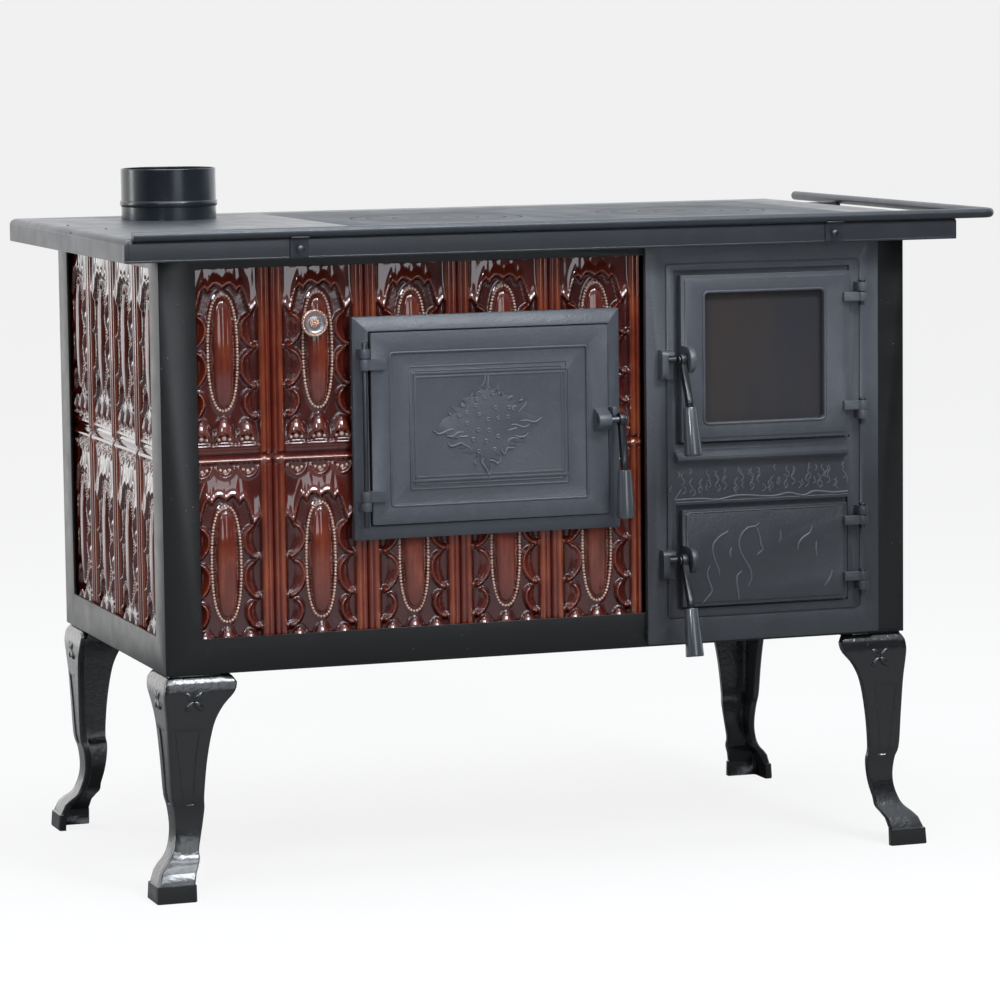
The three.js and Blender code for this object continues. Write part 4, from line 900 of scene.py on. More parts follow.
# ------------------------------------------------------------------ operators
class COOKSTOVE_OT_finishes(bpy.types.Operator):
    """Make every finish and give the CAD pieces theirs"""

    bl_idname = "cookstove.finishes"
    bl_label = "Finishes"

    def execute(self, context):
        make_finishes(context.scene.cookstove_colours)
        for node, piece in NODES.items():
            slot = slot_of(node)
            # the fire front's castings take fire_paint, the cast paint with stronger painted shade towards the
            # bottom
            if slot == "cast_paint" and node.startswith(("fire_", "ash_door")):
                slot = "fire_paint"
            for seat in piece.material_slots:
                seat.material = FINISHES[slot]
        return {"FINISHED"}


OVEN_NECK = ((259.5, 442), (544, 658))  # (x, z) of two corners
LAST_COLUMN_WIDER = 2  # the fifth column reaches behind the fire front


class COOKSTOVE_OT_tiles(bpy.types.Operator):
    """Lay the glazed relief tiles of the front and of both sides"""

    bl_idname = "cookstove.tiles"
    bl_label = "Relief tiles"

    def execute(self, context):
        self.sizes = context.scene.cookstove_tiles
        self.slab, self.joint = self.sizes.slab / MM, self.sizes.joint / MM
        self.height = self.sizes.height / MM
        self.front(self.sizes.width / MM, self.sizes.front_step / MM)
        self.sides(self.sizes.side_width / MM, self.sizes.side_step / MM)
        return {"FINISHED"}

    def front(self, width, step):
        """Five columns of two, cut out round the neck of the oven; the fourth falls in two."""
        pitch = width + self.joint
        blank, face = make_tile("tile_blank", width, self.height, step, self.slab)
        start, end = node_box("front_tiles_1")
        (x0, z0), (x1, z1) = ((x + CORNER.x, z) for x, z in OVEN_NECK)
        for k in range(5):
            tiles = []
            x = start.x + k * pitch
            for row in range(2):
                z = start.z + row * (self.height + self.joint)
                tile = copy_of(blank, f"tile_{k}_{row}", (x, end.y, z))
                if x0 - width < x < x1:
                    carve(tile, box("neck", (x0, -300, z0), (x1, -100, z1)))
                free = lambda u, v, x=x, z=z: not (x0 - 2 < x + u < x1 + 2 and z0 - 2 < z + v < z1 + 2)
                tiles.append(add_pearls(tile, face, self.slab, (x, end.y, z), free))
            if k == 3:
                for tile, part in zip(tiles, ("lower", "upper")):
                    tile.name = f"glazed_tile_4_{part}"
                    hand_over(tile, "tile_glaze", f"front_tile_4_{part}")
                continue
            column = joined(tiles, f"glazed_tiles_{k + 1}")
            if k == 4:
                pick(column)
                wider = (1 + LAST_COLUMN_WIDER / width, 1, 1)
                bpy.ops.transform.resize(value=wider, center_override=(x * MM, 0, 0))
                settle(column)
            hand_over(column, "tile_glaze", f"front_tiles_{k + 1}")
        bpy.data.objects.remove(blank)

    def sides(self, width, step):
        """Four columns of two on each side."""
        blank, face = make_tile("tile_blank", width, self.height, step, self.slab)
        blank = add_pearls(blank, face, self.slab)
        for node, turn in (("left_tiles", -math.pi / 2), ("right_tiles", math.pi / 2)):
            low, high = node_box(node)
            x, start = (high.x, low.y + width) if turn < 0 else (low.x, low.y)
            tiles = []
            for k in range(4):
                for row in range(2):
                    place = (x, start + k * (width + self.joint), low.z + row * (self.height + self.joint))
                    tiles.append(copy_of(blank, f"side_{k}_{row}", place, turn))
                    turn_facing(tiles[-1].data, turn)
            hand_over(joined(tiles, "glazed_" + node), "tile_glaze", node)
        bpy.data.objects.remove(blank)


# how wide the edges are rounded, in millimetres, and from which angle on
EDGES = {
    "angle_frame": (1.2, 40), "top_tray": (1.0, 25), "rail_clip_1": (0.5, 30), "rail_clip_2": (0.5, 30),
    "oven_door_frame": (0.8, 30), "oven_door": (0.7, 30), "fire_front": (0.7, 30),
    "fire_door": (0.7, 30), "ash_door": (0.7, 30),
}
# two (x, z) corners seen from the front, the bead's radius and the radius of its corners
BEADS = {
    "oven_door": (
        ((276, 457), (524.5, 640), 1.6, 4), ((301, 476), (498.5, 622.4), 1.8, 0),
        ((307, 481.5), (492, 617), 1.5, 0),
    ),
    "fire_door": (((675.5, 538.5), (835.5, 699.5), 2.0, 6),),
    "ash_door": (((652.5, 319.5), (852.5, 430), 1.2, 4),),
}


class COOKSTOVE_OT_castings(bpy.types.Operator):
    """Round and smooth the frame, the tray, the doors and their castings"""

    bl_idname = "cookstove.castings"
    bl_label = "Frame and castings"

    def execute(self, context):
        reliefs = {"oven_door": rosette, "fire_front": embers, "ash_door": flames}
        for node, (width, angle) in EDGES.items():
            piece = from_node(node)
            soften(piece, width, 2, angle)
            relief = reliefs[node](piece) if node in reliefs else []
            relief += [bead(piece, *numbers) for numbers in BEADS.get(node, ())]
            if relief:
                piece = joined([piece, *relief], piece.name)
            hand_over(piece, finish_of(node), node)
        return {"FINISHED"}


def finish_of(node):
    return NODES[node].material_slots[0].material.name.split(".")[0]


def slot_of(node):
    """The record's slot for a CAD piece, also once it has its finish."""
    name = finish_of(node)
    return "cast_paint" if name == "fire_paint" else name


def face_depth(piece, x, z):
    """How far back a piece's front face lies at a point seen from the front, in millimetres."""
    place = at(x, 0, z) * MM
    hit, spot, _, _ = piece.ray_cast(Vector((place.x, -1, place.z)), Vector((0, 1, 0)))
    if not hit:
        raise RuntimeError(f"no face of {piece.name} at {x}, {z}")
    return spot.y / MM - CORNER.y


def rub_and_highlight(pieces, share):
    """Smooth raised lines and paint them lighter: rubbed paint, and partly a painted highlight on the raised
    lines.
    """
    for piece in pieces:
        smooth(piece, 60)
        store(piece.data, "rubbed", np.full(len(piece.data.vertices), share))


def stroke(piece, points, radius, count=0, sunk=0.35, taper=True):
    """A raised line cast on a face, through (x, z) points seen from the front."""
    line = flow([(x, 0, z) for x, z in points], count or 4 * len(points) + 2)
    depth = [face_depth(piece, p.x, p.z) for p in line]
    dots = []
    for k, (p, y) in enumerate(zip(line, depth)):
        t = k / (len(line) - 1)
        width = 0.35 + 0.65 * math.sin(math.pi * min(max(t, 0.04), 0.96)) ** 0.5 if taper else 1
        dots.append((*at(p.x, y + radius * sunk, p.z), width))
    return bar("stroke", dots, radius, 8)


BEAD_SUNK = 0.3  # share of its radius that a bead is sunk in its door


def bead(piece, low, high, radius, corner):
    """A raised bead round a rectangle on a door, given by two (x, z) corners seen from the front.

    An ear can stand in front of one side of the leaf, so the face is the furthest back of all four sides.
    """
    aside = 2 * radius
    middle = ((low[0] + high[0]) / 2, (low[1] + high[1]) / 2)
    y = max(face_depth(piece, x, z) for x, z in (
        (low[0] - aside, middle[1]), (high[0] + aside, middle[1]),
        (middle[0], low[1] - aside), (middle[0], high[1] + aside),
    ))
    dots = []
    corners = ((high[0], high[1]), (low[0], high[1]), (low[0], low[1]), (high[0], low[1]))
    for start, (x, z) in zip((0, 90, 180, 270), corners):
        inward = Vector((-corner if start in (0, 270) else corner, 0, -corner if start < 180 else corner))
        for k in range(5 if corner else 1):
            a = math.radians(start + 22.5 * k)
            round_off = Vector((corner * math.cos(a), 0, corner * math.sin(a))) if corner else Vector()
            dots.append(at(x, y + radius * BEAD_SUNK, z) + inward + round_off)
    ring = bar("bead", dots, radius, 12, closed=True)
    smooth(ring, 50)
    return ring


# lines of (x, z) points seen from the front
ASH_FLAMES = [
    [(707, 406), (696, 400), (688, 392), (686, 383), (689, 370), (694, 359), (695, 352)],
    [(683, 365), (679, 357), (680, 348), (684, 338), (684, 331), (672, 318.5)],
    [(711, 386), (709, 379), (710, 373)],
    [(748, 414), (742, 410), (733, 409), (725, 402), (721, 392), (723, 379), (730, 367), (736, 356),
     (737, 345), (733, 337)],
    [(744, 409), (748, 398), (750, 387), (752, 381), (745, 375)],
    [(724, 356), (718, 349), (718, 338), (720, 327), (720, 320)],
    [(775, 404), (776, 395), (774, 389)],
    [(818, 408), (815, 399), (806, 393), (800, 386), (799, 378)],
    [(824, 388), (823, 380), (824, 369)],
    [(845, 351), (842, 342), (835, 332)],
]
RIDGE = [(640, 446.5), (675, 446.5), (697, 444.5), (724, 448.5), (767, 445.5), (790, 448.5), (809, 444.5),
         (825, 449), (847, 446.5), (869, 446.5)]
EMBER = [
    [(0, 1), (3.6, 4), (3.4, 8), (0.4, 11), (1.4, 16), (4.4, 19)],
    [(6, -3), (9.6, 0), (9.4, 4), (6.6, 7)],
    [(7, 11), (10, 14), (9.6, 18), (6.4, 22), (7.6, 27)],
    [(11.6, 3), (14.8, 6), (13, 10), (14, 13)],
    [(0.5, 22), (3, 25), (1, 30)],
]
EMBER_COUNT, EMBER_PITCH = 15, 15.3
EMBER_START, EMBER_END = (642.5, 455), (868, 486)
# the rosette of the oven door: its middle, a quarter of its outline, its studs and its veins, as (x, z)
ROSETTE = (398, 550)
ROSETTE_EDGE = [
    (0, 60.5), (2.5, 50), (3.5, 42), (12, 47), (9.5, 38), (17, 41), (15, 33), (22, 36), (34, 33), (27, 27),
    (39, 29), (31, 22), (50, 25), (40, 17), (52, 12), (60, 8), (69, 7),
]
ROSETTE_STUDS = [
    (-11, 37.6), (-4, 32.4), (-15, 23), (9.4, 19.7), (-36, 12.2), (-27, 15.5), (-11, 12.2), (0, 6.1), (13, 7),
    (25.3, 8), (26.8, 19.2), (-26.3, 2.3), (-12.4, -6.1), (1, -7), (12.4, -14.6), (-3, -19.7), (6, 37),
    (-32, 24.4), (-19, -17), (32, 18), (-14, 31), (8, -30), (-12, -32),
]
ROSETTE_LINES = [
    [(-69, -4.2), (-62, -8.9), (-54, -6.6), (-46, -4.2), (-42, -6.1)],
    [(-52, -11.3), (-45, -12.7), (-38, -8.5), (-31, -8)],
    [(-36, -13.2), (-30, -13.6), (-25.3, -12.2)],
    [(-51, -19.2), (-48, -23.5), (-43, -23.9), (-35, -21.1), (-30, -23.5), (-24, -26.8), (-21, -30.5)],
    [(68.5, 6.1), (62.6, 1.4), (56.6, 0.5), (48.7, 2.8), (41.7, 2.3)],
    [(52.6, -1.9), (46.7, -5.2), (40.7, -4.2), (35.7, -1.9), (29.8, -1.9)],
    [(36.7, -5.6), (29.8, -7.5), (24.8, -8.5)],
    [(50.6, -12.2), (46.7, -16.4), (40.7, -16.9), (34.8, -15)],
    [(38.7, -18.8), (30.8, -17.8), (25.8, -20.7), (24.3, -23.5)],
    [(33.8, -29.6), (27.8, -29.6), (23.8, -30), (20.9, -36.6), (17.9, -33.8), (16.4, -30)],
    [(14.9, -39.4), (14.4, -45), (10.9, -47.4), (7, -44.1), (1, -43.2)],
    [(4, -48), (3, -55.4), (0.5, -60.5), (-1.5, -55.4), (-6.5, -47.9), (-8.4, -45), (-5.5, -40.8)],
    [(-14.9, -48.4), (-17.9, -43.7)],
    [(-3, 60), (-3, 55.4), (-4.5, 50.7), (-8.4, 45.5)],
    [(0, 60), (1, 54.5), (0, 46.9), (3, 42.3)],
    [(-22.8, 29.1), (-19.9, 36.6), (-18.9, 37.6)],
    [(-49.7, 16), (-45.2, 11.7)],
    [(-33.8, 25.4), (-29.3, 23), (-29.8, 21.6)],
    [(12.9, 46.9), (11.9, 40.4)],
    [(14.4, 38.5), (14.9, 34.7)],
    [(18.4, 38.5), (18.9, 33.8)],
    [(25.8, 28.2), (27.3, 31), (31.8, 32.9)],
    [(39.7, 26.3), (44.7, 28.2)],
    [(49.7, 25.4), (46.7, 20.7), (43.7, 17.8), (38.7, 13.1)],
    [(30.8, 16.9), (33.8, 20.7), (36.2, 18.8)],
]


def rosette(door):
    """The leafy lozenge in the middle of the oven door."""
    edge = ROSETTE_EDGE
    right = edge + [(x, -z) for x, z in reversed(edge[:-1])]
    outline = right + [(-x, -z) for x, z in right[1:-1]]
    y = face_depth(door, *ROSETTE)
    corners = [at(ROSETTE[0] + x * 0.96, y + 0.4, ROSETTE[1] + z * 0.96) for x, z in outline]
    leafy = mesh_of("lozenge", corners, faces=[list(range(len(corners)))])
    edit(leafy)
    extrude(0, -1.3, 0)
    done()
    outward(leafy)
    soften(leafy, 0.4, 2, 40)
    parts = [leafy]
    for k, (x, z) in enumerate(ROSETTE_STUDS):
        turn = math.radians((37 * k) % 50 - 25)
        ring = []
        for i in range(5):
            a = turn + math.pi / 4 + math.pi / 2 * i
            across, up = x + 2.3 * math.cos(a), z + 2.3 * math.sin(a)
            ring.append((*at(ROSETTE[0] + across, y - 1.1, ROSETTE[1] + up), 1))
        parts.append(bar("stud", ring[: 4 if k % 3 else 5], 1.05, 8))
    for line in ROSETTE_LINES:
        dots = flow([(x, 0, z) for x, z in line], 4 * len(line))
        path = []
        for k, p in enumerate(dots):
            width = 0.4 + 0.6 * math.sin(math.pi * (k + 0.5) / len(dots)) ** 0.5
            path.append((*at(ROSETTE[0] + p.x, y - 0.7, ROSETTE[1] + p.z), width))
        parts.append(bar("vein", path, 1.4, 8))
    rub_and_highlight(parts[1:], 0.3)
    return parts


def flames(door):
    """The cast flames on the ash door."""
    parts = [stroke(door, line, 1.5, sunk=0.1) for line in ASH_FLAMES]
    rub_and_highlight(parts, 0.75)
    return parts


def embers(front):
    """The row of small flames and the ridge under it, over the ash door."""
    parts = [stroke(front, RIDGE, 1.6, 60, 0.2, taper=False)]
    parts.append(stroke(front, [(640, 443), (869, 443.5)], 0.9, 4, taper=False))
    parts.append(stroke(front, [(639, 447), (644, 453), (649, 460)], 0.9))
    for k in range(EMBER_COUNT):
        for i, line in enumerate(EMBER):
            if (k * 3 + i * 2) % 7 == 0:
                continue
            x0 = EMBER_START[0] + EMBER_PITCH * k + 1.6 * math.sin(2.4 * k + 1.7 * i)
            z0 = EMBER_START[1] + 2.2 * math.cos(1.9 * k + i)
            flip = -1 if (k + i) % 3 == 0 else 1
            points = [
                (min(x0 + (3.5 + flip * (x - 3.5)), EMBER_END[0]), min(z0 + z * 0.92, EMBER_END[1]))
                for x, z in line
            ]
            parts.append(stroke(front, points, 1.15, 13, 0.1))
    rub_and_highlight(parts, 0.7)
    return parts


# height, how far the corner stands out and how far the faces reach from it
LEG_OUTLINE = [
    (266.7, -6, 78), (263.5, -2.2, 81.5), (259, 0.6, 84.5), (254.7, 2.1, 86), (244, 3.2, 82), (228, 2, 68),
    (205.4, 0, 57), (165.4, -2, 49), (122.7, -4, 45), (106.7, -8, 46), (88, -10, 44), (72, -9, 41),
    (57.3, -5, 37.5), (47.5, 0, 37), (40, 8, 33), (33.3, 14, 29), (21.1, 18.5, 26), (20, 21, 27), (0, 22, 27),
]
LEG_WALL = 9
LEG_PANEL = (200, 112)  # top and bottom of the sunk panel
PANEL_DEPTH = 1.3
KNEE = (33, -2.0, 236)  # middle of the motif
SWAP_XY = Matrix(((0, 1, 0, 0), (1, 0, 0, 0), (0, 0, 1, 0), (0, 0, 0, 1)))


def leg_section(out, reach, panel, depth):
    """The L of one leg, seen from above, its outer corner near the origin."""
    o, wall = -out, -out + LEG_WALL
    left, right = panel
    sunk = [(left, o), (left + 1.1, o + depth), (right - 1.1, o + depth), (right, o)]
    face = [(o + 2.4, o), *sunk, (reach - 2, o)]
    near = [(reach, o + 2), (reach, wall - 1), (reach - 1, wall), (wall + 3, wall)]
    half = face + near
    other = [(y, x) for x, y in reversed(half)]
    return half + other + [(o + 0.7, o + 0.7)]


def leg_levels():
    """Sections of the leg from the top down, closer together where it bends most."""
    fine = flow(LEG_OUTLINE[:-3], 64)
    levels = [tuple(p) for p in fine] + [(21.1, 18.7, 26), (20.2, 20.8, 27), (1.2, 22, 27), (0, 21.2, 26.4)]
    panel_top, panel_bottom = LEG_PANEL
    for z in (panel_top + 1.2, panel_top, panel_bottom, panel_bottom - 1.2):
        after = next(k for k, level in enumerate(levels) if level[0] < z)
        a, b = levels[after - 1], levels[after]
        t = (a[0] - z) / (a[0] - b[0])
        levels.insert(after, (z, a[1] + (b[1] - a[1]) * t, a[2] + (b[2] - a[2]) * t))
    for z, out, reach in levels:
        down = min(max((panel_top - z) / (panel_top - panel_bottom), 0), 1)
        depth = PANEL_DEPTH if panel_bottom - 0.1 < z < panel_top + 0.1 else 0
        left = -out + 9 + 5 * down
        yield z, leg_section(out, reach, (left, reach - 15 + 2.5 * down), depth)


def make_leg():
    """One cast leg at the origin, drawn downwards from its top."""
    levels = list(leg_levels())
    z, section = levels[0]
    leg = mesh_of("leg", [(x, y, z) for x, y in section], faces=[list(range(len(section)))])
    edit(leg)
    bpy.context.tool_settings.mesh_select_mode = (False, False, True)
    bpy.ops.mesh.select_all(action="SELECT")
    for z, after in levels[1:]:
        extrude(0, 0, -0.5)
        shell = bmesh.from_edit_mesh(leg.data)
        for corner in [v for v in shell.verts if v.select]:
            where = Vector((corner.co.x, corner.co.y)) / MM
            k = min(range(len(section)), key=lambda i: (Vector(section[i]) - where).length)
            corner.co = Vector((after[k][0], after[k][1], z)) * MM
        bmesh.update_edit_mesh(leg.data)
        section = after
    done()
    outward(leg)
    smooth(leg, 38)
    motif = []
    for swap in (False, True):
        for turn in range(4):
            petal = ball("petal", 16, 8, (8, 2.8, 4.2), (7.6, 0, 0))
            spin = Matrix.Rotation(math.radians(45 + 90 * turn), 4, "Y")
            petal.data.transform(Matrix.Translation(Vector(KNEE) * MM) @ spin)
            if swap:
                petal.data.transform(SWAP_XY)
                petal.data.flip_normals()
            motif.append(petal)
    pad = box("pad", (4, 4, 259.7), (68, 68, 266.7))
    soften(pad, 0.8)
    return joined([leg, *motif, pad], "leg")


# how far each leg is turned about Z
LEGS = {"leg_front_left": 0, "leg_front_right": 90, "leg_rear_right": 180, "leg_rear_left": -90}


class COOKSTOVE_OT_legs(bpy.types.Operator):
    """Cast the four cabriole legs"""

    bl_idname = "cookstove.legs"
    bl_label = "Legs"

    def execute(self, context):
        leg = make_leg()
        for node, turn in LEGS.items():
            x = FAR_CORNER.x if node.endswith("right") else CORNER.x
            y = FAR_CORNER.y if "rear" in node else CORNER.y
            cast = copy_of(leg, node + "_cast", (x, y, 0), math.radians(turn))
            hand_over(cast, "leg_enamel", node)
        bpy.data.objects.remove(leg)
        return {"FINISHED"}


TOP = node_box("hob_plate_left")[1].z
HOB_RIM = 4  # how far a plate lies over its seat
# radius, from and to (over the plate's top) of the step for the ring, of its rounded edge and of the hole
HOB_CUTS = ((107.3, -6, 20), (108.6, -1.1, 20), (100.3, -20, 20))
HOB_BODY_IN = 45.3  # how far inside the frame the thick part ends


def groove(radius):
    """A ring groove in the profile of a cast disc, drawn inwards."""
    return [(radius + 1.6, 0), (radius + 0.6, -1.3), (radius - 0.6, -1.3), (radius - 1.6, 0)]


# (radius, height over the plate)
RING_PROFILE = [
    (107, -5.7), (107, -1.5), (105.6, 0), *groove(86.8), *groove(53.8), (34.8, 0), (33.3, -1.4),
    (33.3, -6), (27.3, -6), (27.3, -10), (100, -10), (100, -5.7),
]
PLUG_PROFILE = [(0, 0), (31.6, 0), (33, -1.4), (33, -5.7), (27, -5.7), (27, -10), (0, -10)]


class COOKSTOVE_OT_hob(bpy.types.Operator):
    """Cast the hob plates with their rings and plugs"""

    bl_idname = "cookstove.hob"
    bl_label = "Hob"

    def execute(self, context):
        for side in ("left", "right"):
            low, high = node_box(f"hob_plate_{side}")
            x, y = (sum(node_box(f"hob_ring_{side}"), Vector()) / 2).xy
            plate = box(f"hob_plate_{side}_cast", (low.x, low.y, TOP - 3), (high.x, high.y, TOP))
            right = min(high.x - HOB_RIM, FAR_CORNER.x - HOB_BODY_IN)
            under = box(
                "under", (low.x + HOB_RIM, CORNER.y + HOB_BODY_IN, TOP - 10),
                (right, FAR_CORNER.y - HOB_BODY_IN, TOP - 1),
            )
            carve(plate, under, "UNION")
            for radius, start, end in HOB_CUTS:
                carve(plate, disc("cut", (x, y), radius, TOP + start, TOP + end))
            soften(plate, 0.9, 2, 40)
            hand_over(plate, "hob_iron", f"hob_plate_{side}")
            ring = turned(f"hob_ring_{side}_cast", RING_PROFILE, (x, y, TOP), 128)
            hand_over(ring, "hob_iron", f"hob_ring_{side}")
            plug = turned(f"hob_plug_{side}_cast", PLUG_PROFILE, (x, y, TOP), 64)
            carve(plug, box("slot", (x - 8, y - 3, TOP - 2), (x + 8, y + 3, TOP + 5)))
            smooth(plug, 32)
            hand_over(plug, "hob_iron", f"hob_plug_{side}")
        return {"FINISHED"}


# two corners of the rolled hem, its height and its radius, then two corners of each mark
HEM, HEM_Z, HEM_RADIUS = ((-49.6, -45.3), (997.5, 552.4)), 758, 1.4
SEAM = ((-46.6, -46.15, 758.5), (-45.7, -45.5, 781))
# the slot is a thin black inlay on the tray's top: painted shade standing for the dark inside of a slot
PAINTED_SLOT_SHADE = ((50, 508, 784.5), (86, 513, 785.15))
RIVETS = ((-49.2, 220.6, 780.5), (-10.2, 205, 784.4), (-30, 320, 784.4))


class COOKSTOVE_OT_tray_details(bpy.types.Operator):
    """Roll the tray's hem and set the small marks on it, the slot on its top as a black inlay of painted shade
    """

    bl_idname = "cookstove.tray_details"
    bl_label = "Tray details"

    def execute(self, context):
        (x0, y0), (x1, y1) = HEM
        hem = [at(x, y, HEM_Z) for x, y in ((x0, y0), (x1, y0), (x1, y1), (x0, y1))]
        roll = bar("tray_hem", hem, HEM_RADIUS, 12, closed=True)
        smooth(roll, 50)
        hand_over(roll, "tray_paint")
        # the slot's black box is painted shade
        parts = [box("mark", at(*low), at(*high)) for low, high in (SEAM, PAINTED_SLOT_SHADE)]
        parts += [ball("rivet", 12, 8, (1.8, 1.8, 1.8), at(*place)) for place in RIVETS]
        hand_over(joined(parts, "tray_marks"), "frame_paint")
        return {"FINISHED"}


# (radius, height over the hob): up the outside over the bead, down the inside, then the sleeve in the tray
FLUE_BEAD = [(60 + 1.8 * math.cos(a), 20 + 4.0 * math.sin(a)) for a in np.radians(range(-90, 91, 18))]
FLUE_OUTSIDE = [
    (60, 0.3), (60, 15.4), *FLUE_BEAD, (60, 24.6), (60, 63.4), (59.4, 64), (58.6, 64), (58, 63.4),
]
FLUE_INSIDE = [(58, 24.6), (59, 22), (59.4, 20), (59, 18), (58, 15.4), (58, 2.3), (56, 0.3)]
FLUE_SLEEVE = [(56, -17), (57.7, -17), (57.7, 0.3)]


class COOKSTOVE_OT_flue(bpy.types.Operator):
    """Roll the flue collar with its bead"""

    bl_idname = "cookstove.flue"
    bl_label = "Flue collar"

    def execute(self, context):
        low, high = node_box("flue_collar")
        profile = FLUE_OUTSIDE + FLUE_INSIDE + FLUE_SLEEVE
        collar = turned("flue_collar_rolled", profile, (*((low + high) / 2).xy, TOP), 128)
        hand_over(collar, "flue_paint", "flue_collar")
        return {"FINISHED"}


# the x where the rail starts, the place of its outer corner and the y where it ends
RAIL_START, RAIL_CORNER, RAIL_END = -41.8, (1047, -48.08, 787.11), 571.8
RAIL_BEND, RAIL_RADIUS = 14, 5.95
STANDOFFS = (126.25, 423.75)
SCREWS = ((158, -53.8, 767.5), (834, -53.8, 767.5))
SCREW_PROFILE = [(0, 0), (4.6, 0), (4.6, 0.6), (3.9, 1.3), (2.1, 1.9), (0, 2.05)]


class COOKSTOVE_OT_rail(bpy.types.Operator):
    """Bend the guard rail and screw its clips on"""

    bl_idname = "cookstove.rail"
    bl_label = "Guard rail"

    def execute(self, context):
        x, y, z = at(*RAIL_CORNER)
        path = [(at(RAIL_START, 0, 0).x, y, z)]
        for k in range(13):
            a = math.radians(-90 + 90 * k / 12)
            path.append((x - RAIL_BEND + RAIL_BEND * math.cos(a), y + RAIL_BEND + RAIL_BEND * math.sin(a), z))
        path.append((x, at(0, RAIL_END, 0).y, z))
        rail = bar("guard_rail_bent", path, RAIL_RADIUS, 24)
        soften(rail, 0.5, 2, 50)
        parts = [rail]
        for middle in STANDOFFS:
            parts.append(box("standoff", at(999.3, middle - 5, z - 9), at(1047, middle + 5, z - 3)))
            soften(parts[-1], 0.6)
        hand_over(joined(parts, "guard_rail_bent"), "rail_paint", "guard_rail")
        for k, place in enumerate(SCREWS):
            head = turned(f"clip_screw_{k + 1}", SCREW_PROFILE, (0, 0, 0), 24)
            for long, wide in ((5, 1.1), (1.1, 5)):
                carve(head, box("cross", (-long / 2, -wide / 2, 0.75), (long / 2, wide / 2, 3)))
            lean(head, Matrix.Translation(at(*place) * MM) @ TO_FRONT)
            smooth(head, 40)
            hand_over(head, "dark_steel", slot="bright_steel")
        return {"FINISHED"}


# (distance from the axis, height over the tiles)
KNOB_PROFILE = [
    (4.3, 0), (9, 0), (8.2, 1.2), (7.2, 5), (13.5, 5.6), (16.1, 7.2), (16.5, 8.6), (16.1, 10),
    (14.9, 10.8), (13.4, 10.6), (12.5, 9.6), (10.5, 8.2), (8, 7.9), (6.4, 8.4), (5.4, 9.6), (0, 10),
    (0, 5.3), (4.3, 5.3),
]
SILVER_FROM, SILVER_TO, SILVER_OVER = 6.3, 12.9, 7  # the silver band: two radii and a height
# drops in each ring, the ring's radius and height, the drops' radii, and how far round the first one is
KNOB_RINGS = (
    (28, 14.5, 10.7, (1.45, 1.45, 1.3), 0),
    (10, 5.0, 9.6, (1.9, 1.0, 0.9), 0),
    (8, 3.1, 10.5, (1.9, 1.0, 0.9), 0.5),
    (20, 9.7, 8.0, (1.6, 0.55, 0.55), 0.5),
)


class COOKSTOVE_OT_knob(bpy.types.Operator):
    """Turn and press the rosette of the damper pull"""

    bl_idname = "cookstove.knob"
    bl_label = "Damper knob"

    def execute(self, context):
        low, high = node_box("damper_knob")
        seat = Vector(((low.x + high.x) / 2, high.y, (low.z + high.z) / 2))
        parts = [turned("rosette", KNOB_PROFILE, (0, 0, 0), 64)]
        parts.append(ball("drop", 10, 6, (1.9, 1.9, 1.5), (0, 0, 11.2)))
        for count, out, height, size, offset in KNOB_RINGS:
            for k in range(count):
                a = 2 * math.pi * (k + offset) / count
                place = (out * math.cos(a), out * math.sin(a), height)
                parts.append(ball("drop", 10, 6, size, place, a))
        knob = joined(parts, "damper_rosette")
        knob.data.materials.clear()
        for finish in ("copper", "aged_silver"):
            knob.data.materials.append(FINISHES[finish])
        for face in knob.data.polygons:
            out = math.hypot(face.center.x, face.center.y) / MM
            if SILVER_FROM < out < SILVER_TO and face.center.z / MM > SILVER_OVER:
                face.material_index = 1
        lean(knob, Matrix.Translation(seat * MM) @ TO_FRONT)
        hand_over(knob, None, "damper_knob")
        return {"FINISHED"}


HINGE_PINS = (
    "oven_hinge_rod", "fire_hinge_pin_upper", "fire_hinge_pin_lower", "ash_hinge_pin_upper",
    "ash_hinge_pin_lower",
)


class COOKSTOVE_OT_handles(bpy.types.Operator):
    """Turn the three tapered grips and file the levers"""

    bl_idname = "cookstove.handles"
    bl_label = "Latches"

    def execute(self, context):
        for door in ("oven", "fire", "ash"):
            self.file(f"{door}_lever", 0.6, "lever_iron")
            self.grip(door)
            self.file(f"{door}_latch_pin", 0.4, "dark_steel", "bright_steel")
        for node in HINGE_PINS:
            self.file(node, 0.4, "dark_steel", "bright_steel")
        return {"FINISHED"}

    def file(self, node, width, finish, slot=None):
        """Round the edges of a CAD piece."""
        piece = from_node(node)
        soften(piece, width, 2, 35)
        hand_over(piece, finish, node, slot)

    def grip(self, door):
        """A grip turned about the CAD grip's own middle line."""
        points = np.array([v.co for v in NODES[f"{door}_grip"].data.vertices])
        middle = points.mean(0)
        line = np.linalg.svd(points - middle, full_matrices=False)[2][0]
        line = Vector(line if line[2] > 0 else -line)
        along = (points - middle) @ np.array(line)
        top = Vector(middle) + line * float(along.max())
        end = float(along.min() - along.max()) / MM
        grip = turned(f"{door}_grip_turned", [
            (0, 0), (7.6, 0), (8.3, -0.3), (8.5, -1),
            (11.2, end + 2.4), (11.1, end + 1.1), (10.1, end), (0, end),
        ], (0, 0, 0), 48)
        turn = Vector((0, 0, 1)).rotation_difference(line).to_matrix().to_4x4()
        lean(grip, Matrix.Translation(top) @ turn)
        hand_over(grip, "grip_steel", f"{door}_grip")


